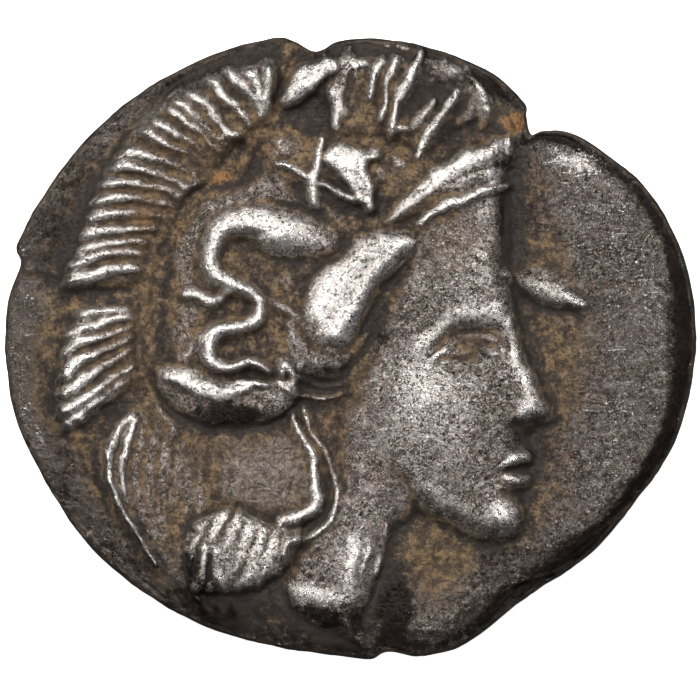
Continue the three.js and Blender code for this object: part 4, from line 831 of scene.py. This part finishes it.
class Shader:
    """A material's node tree, with short calls for the nodes that these finishes use."""

    def __init__(self, name):
        self.material = bpy.data.materials.new(name)
        self.material.use_nodes = True
        self.nodes = self.material.node_tree.nodes
        self.links = self.material.node_tree.links
        self.nodes.clear()

    def add(self, kind, inputs=None, **settings):
        node = self.nodes.new(kind)
        for key, value in settings.items():
            setattr(node, key, value)
        for key, value in (inputs or {}).items():
            if isinstance(value, bpy.types.NodeSocket):
                self.links.new(value, node.inputs[key])
            else:
                node.inputs[key].default_value = value
        return node

    def math(self, operation, a, b=0.0, clamp=False):
        return self.add("ShaderNodeMath", {0: a, 1: b}, operation=operation, use_clamp=clamp).outputs[0]

    def range(self, value, low, high):
        return self.add(
            "ShaderNodeMapRange", {"Value": value, "From Min": low, "From Max": high},
            interpolation_type="SMOOTHSTEP",
        ).outputs[0]

    def noise(self, where, scale, detail, rough=0.6, distortion=0.0):
        return self.add(
            "ShaderNodeTexNoise",
            {"Vector": where, "Scale": scale, "Detail": detail, "Roughness": rough, "Distortion": distortion},
        ).outputs["Fac"]

    def mix(self, share, a, b):
        return self.add("ShaderNodeMix", {0: share, 6: a, 7: b}, data_type="RGBA").outputs[2]

    def times(self, a, b):
        return self.math("MULTIPLY", a, b)

    def around(self, noise):
        """A noise moved so that it lies about 0."""
        return self.math("SUBTRACT", noise, 0.5)

    def total(self, start, *parts, clamp=False):
        """The start plus each value times its own share."""
        for value, share in parts:
            start = self.math("ADD", start, self.times(value, share))
        return self.math("ADD", start, 0.0, clamp=True) if clamp else start

    def value(self, name):
        return self.add("ShaderNodeAttribute", attribute_name=name).outputs["Fac"]

    def stretched(self, where, degrees, share):
        """Turns the place about Z and squeezes it along one axis, for streaks along that axis."""
        return self.add("ShaderNodeMapping", {
            "Vector": where, "Rotation": (0, 0, math.radians(degrees)), "Scale": (share, 1, 1),
        }).outputs[0]

    def millimetres(self):
        where = self.add("ShaderNodeTexCoord").outputs["Object"]
        return self.add("ShaderNodeVectorMath", {0: where, "Scale": MM}, operation="SCALE").outputs[0]


def coin_material(looks):
    """Old silver: worn to pale bare silver on the high places, with painted highlights and white glints among
    them, toned brown-grey elsewhere, ochre earth in the recesses, near-black dirt with painted shade in the
    recesses and on shadowed flanks, and all of it rough and pitted."""
    s = Shader("old_silver")
    where = s.millimetres()
    names = ("wear", "recess", "height", "ochre", "dark_and_shade", "bright_and_highlight", "calm")
    wear, recess, high, ochre, dark_and_shade, bright_and_highlight, calm = (s.value(name) for name in names)
    grain = s.noise(where, 13.0, 6.0, 0.8)
    speckle = s.noise(where, 34.0, 3.0, 0.7)
    cloud = s.noise(where, 2.6, 5.0, 0.65)
    patch = s.noise(where, 0.9, 3.0, 0.55)
    flow = s.noise(s.stretched(where, 40.0, 0.22), 9.0, 4.0, 0.7)
    streak = s.noise(where, 5.0, 4.0, 0.7)
    mottle = s.noise(where, 5.4, 6.0, 0.76, 0.8)
    flecks = s.range(s.noise(where, 8.0, 6.0, 0.8, 1.2), 0.54, 0.61)
    pits = s.range(s.noise(where, 17.0, 5.0, 0.75, 0.8), 0.55, 0.6)
    scratches = s.range(s.noise(s.stretched(where, -58.0, 0.12), 12.0, 3.0, 0.6, 0.5), 0.61, 0.67)
    low = s.total(1.0, (s.range(high, 0.04, 0.3), -1.0))
    busy = s.total(1.0, (s.range(calm, 0.0, 0.8), -0.75))

    # How worn each place is, with painted highlights added where the brighter places are.
    rubbed_and_highlit = s.total(
        0.0, (wear, 0.9), (s.range(high, 0.3, 1.0), 0.12), (bright_and_highlight, s.total(0.55, (flecks, 0.6))),
        (s.around(cloud), 0.5), (s.around(grain), s.times(busy, 2.4)), (s.around(speckle), 2.4),
        (flecks, s.total(0.15, (low, 0.35))), (scratches, s.times(low, 0.5)), (s.around(flow), 0.8),
        (recess, -0.9), (s.math("ADD", dark_and_shade, ochre), -0.3))
    rubbed_and_highlit = s.range(rubbed_and_highlit, 0.1, 1.15)

    tone = s.mix(s.range(cloud, 0.4, 0.6), looks.toned, TONED_DEEP)
    tone = s.mix(s.range(patch, 0.42, 0.6), tone, TONED_PALE)
    for noise, start, end, most, other in (
        (mottle, 0.5, 0.6, 0.8, MOTTLE_PALE),
        (mottle, 0.47, 0.38, 0.7, MOTTLE_DEEP),
        (grain, 0.5, 0.6, 0.6, GRAIN_DEEP),
        (speckle, 0.54, 0.62, 0.6, SPECKLE_PALE),
        (speckle, 0.44, 0.38, 0.6, SPECKLE_DEEP),
    ):
        tone = s.mix(s.times(s.range(noise, start, end), s.times(busy, most)), tone, other)
    tone = s.mix(s.times(low, 0.56), tone, FIELD_DEEP)
    silver = s.mix(s.range(grain, 0.4, 0.6), looks.silver, SILVER_DULL)
    surface = s.mix(rubbed_and_highlit, tone, silver)

    earth_share = s.total(0.0, (recess, 0.75), (ochre, 0.8), (s.around(cloud), 1.2), (rubbed_and_highlit, -1.0))
    earth_share = s.times(s.range(earth_share, 0.15, 0.9), 0.9)
    earth = s.mix(s.range(streak, 0.38, 0.58), looks.earth, EARTH_DEEP)
    earth = s.mix(s.times(s.range(ochre, 1.1, 1.7), s.range(streak, 0.62, 0.45)), earth, looks.rust)
    surface = s.mix(earth_share, surface, earth)

    # Near-black over the hollows and the darker places: partly dirt, partly painted shade in the hollows and
    # painted shadow on the flanks.
    soot_and_shade = s.total(
        0.0, (recess, 0.63), (s.around(streak), 1.8), (s.around(grain), 1.4), (s.around(patch), 1.2),
        (dark_and_shade, 0.9), (ochre, -0.45), (rubbed_and_highlit, -1.0))
    surface = s.mix(s.times(s.range(soot_and_shade, 0.45, 1.25), 0.92), surface, SOOT_AND_SHADE)
    surface = s.mix(s.times(pits, s.times(busy, 0.85)), surface, PIT)

    rough = s.total(0.33, (rubbed_and_highlit, -0.05), (earth_share, 0.3), (s.around(grain), 0.5), clamp=True)
    # Painted glints: where the painted highlights meet the flecks, the surface turns a diffuse white that
    # shows under any lamp.
    painted_glint = s.range(s.times(bright_and_highlight, flecks), 0.8, 1.3)
    metallic = s.total(1.0, (earth_share, -0.75), (painted_glint, -0.6), clamp=True)
    relief = s.total(
        0.0, (grain, 1.0), (speckle, 0.4), (mottle, s.times(busy, 0.9)), (streak, s.times(earth_share, 0.4)),
        (flow, 0.9), (flecks, 0.5), (scratches, -0.3), (pits, -0.35))
    strength = s.total(0.8, (low, -0.12), (rubbed_and_highlit, -0.35))
    bump = s.add("ShaderNodeBump", {"Height": relief, "Strength": strength, "Distance": BUMP_DEPTH})
    shader = s.add("ShaderNodeBsdfPrincipled", {
        "Base Color": surface, "Metallic": metallic, "Roughness": rough, "Normal": bump.outputs[0],
    })
    s.add("ShaderNodeOutputMaterial", {"Surface": shader.outputs[0]})
    return s.material


def floor_material(looks):
    """A matt pale floor with the faintest grain."""
    s = Shader("pale_floor")
    grain = s.noise(s.millimetres(), 0.4, 2.0)
    shader = s.add("ShaderNodeBsdfPrincipled", {
        "Base Color": s.mix(grain, looks.floor, FLOOR_GRAIN), "Roughness": 0.9, "Specular IOR Level": 0.0,
        "Emission Color": (1, 1, 1, 1), "Emission Strength": FLOOR_GLOW,
    })
    s.add("ShaderNodeOutputMaterial", {"Surface": shader.outputs[0]})
    return s.material


def add_light(scene, name, azimuth, elevation, size, power, tint, target):
    """A round light at the angles given, turned so that its beam runs to the target."""
    light = bpy.data.lights.new(name, "AREA")
    light.shape, light.size, light.energy, light.color = "DISK", size, power, tint
    lamp = bpy.data.objects.new(name, light)
    scene.collection.objects.link(lamp)
    a, e = math.radians(azimuth), math.radians(elevation)
    far = LIGHTS_FAR
    place = Vector((far * math.cos(a) * math.cos(e), far * math.sin(a) * math.cos(e), far * math.sin(e)))
    lamp.location = place
    lamp.rotation_euler = (target - place).to_track_quat("-Z", "Y").to_euler()


class COIN_OT_coin(bpy.types.Operator):
    """Build the coin with its carving, edge, toning, painted shade and painted highlights"""

    bl_idname = "coin.coin"
    bl_label = "Build coin"

    def execute(self, context):
        scene = context.scene
        piece = make_mesh("struck_coin", *coin_surface(scene.coin_sizes))
        piece.data.materials.append(coin_material(scene.coin_looks))
        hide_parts("coin")
        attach(piece, "root")
        return {"FINISHED"}


class COIN_OT_stage(bpy.types.Operator):
    """Lay the floor and set the lights and the camera"""

    bl_idname = "coin.stage"
    bl_label = "Set stage"

    def execute(self, context):
        scene = context.scene
        _, unit, middle, tall = flan()

        h = FLOOR_HALF
        mesh = bpy.data.meshes.new("floor")
        mesh.from_pydata([(-h, -h, 0), (h, -h, 0), (h, h, 0), (-h, h, 0)], [], [(0, 1, 2, 3)])
        floor = bpy.data.objects.new("floor", mesh)
        scene.collection.objects.link(floor)
        mesh.materials.append(floor_material(scene.coin_looks))
        floor.visible_glossy = False

        for light in LIGHTS:
            add_light(scene, *light, Vector((0, 0, tall * LIGHTS_AIM)))

        world = scene.world or bpy.data.worlds.new("studio")
        scene.world = world
        world.use_nodes = True
        ground = world.node_tree.nodes["Background"]
        ground.inputs[0].default_value = WORLD_COLOUR
        ground.inputs[1].default_value = WORLD_STRENGTH

        data = bpy.data.cameras.new("camera")
        camera = bpy.data.objects.new("camera", data)
        scene.collection.objects.link(camera)
        data.sensor_width = SENSOR
        data.lens = SENSOR * (CAMERA_HEIGHT - tall * PICTURE_AT) / (PICTURE_UNITS * unit)
        data.clip_start, data.clip_end = 0.01, 2
        camera.location = (-middle[0] * unit, -middle[1] * unit, CAMERA_HEIGHT)
        scene.camera = camera
        scene.view_settings.view_transform = "Standard"
        return {"FINISHED"}


class COIN_PT_panel(bpy.types.Panel):
    """Sizes, colours and the steps that build the coin"""

    bl_idname = "COIN_PT_panel"
    bl_label = "Coin"
    bl_space_type = "VIEW_3D"
    bl_region_type = "UI"
    bl_category = "Coin"

    def draw(self, context):
        for group in (context.scene.coin_sizes, context.scene.coin_looks):
            for key in group.__annotations__:
                self.layout.prop(group, key)
        for step in (COIN_OT_coin, COIN_OT_stage):
            self.layout.operator(step.bl_idname)


CLASSES = (CoinSizes, CoinLooks, COIN_OT_coin, COIN_OT_stage, COIN_PT_panel)


def register():
    for cls in CLASSES:
        bpy.utils.register_class(cls)
    bpy.types.Scene.coin_sizes = bpy.props.PointerProperty(type=CoinSizes)
    bpy.types.Scene.coin_looks = bpy.props.PointerProperty(type=CoinLooks)


def unregister():
    del bpy.types.Scene.coin_sizes
    del bpy.types.Scene.coin_looks
    for cls in reversed(CLASSES):
        bpy.utils.unregister_class(cls)


def main():
    register()
    bpy.ops.coin.coin()
    bpy.ops.coin.stage()


if __name__ == "__main__":
    main()
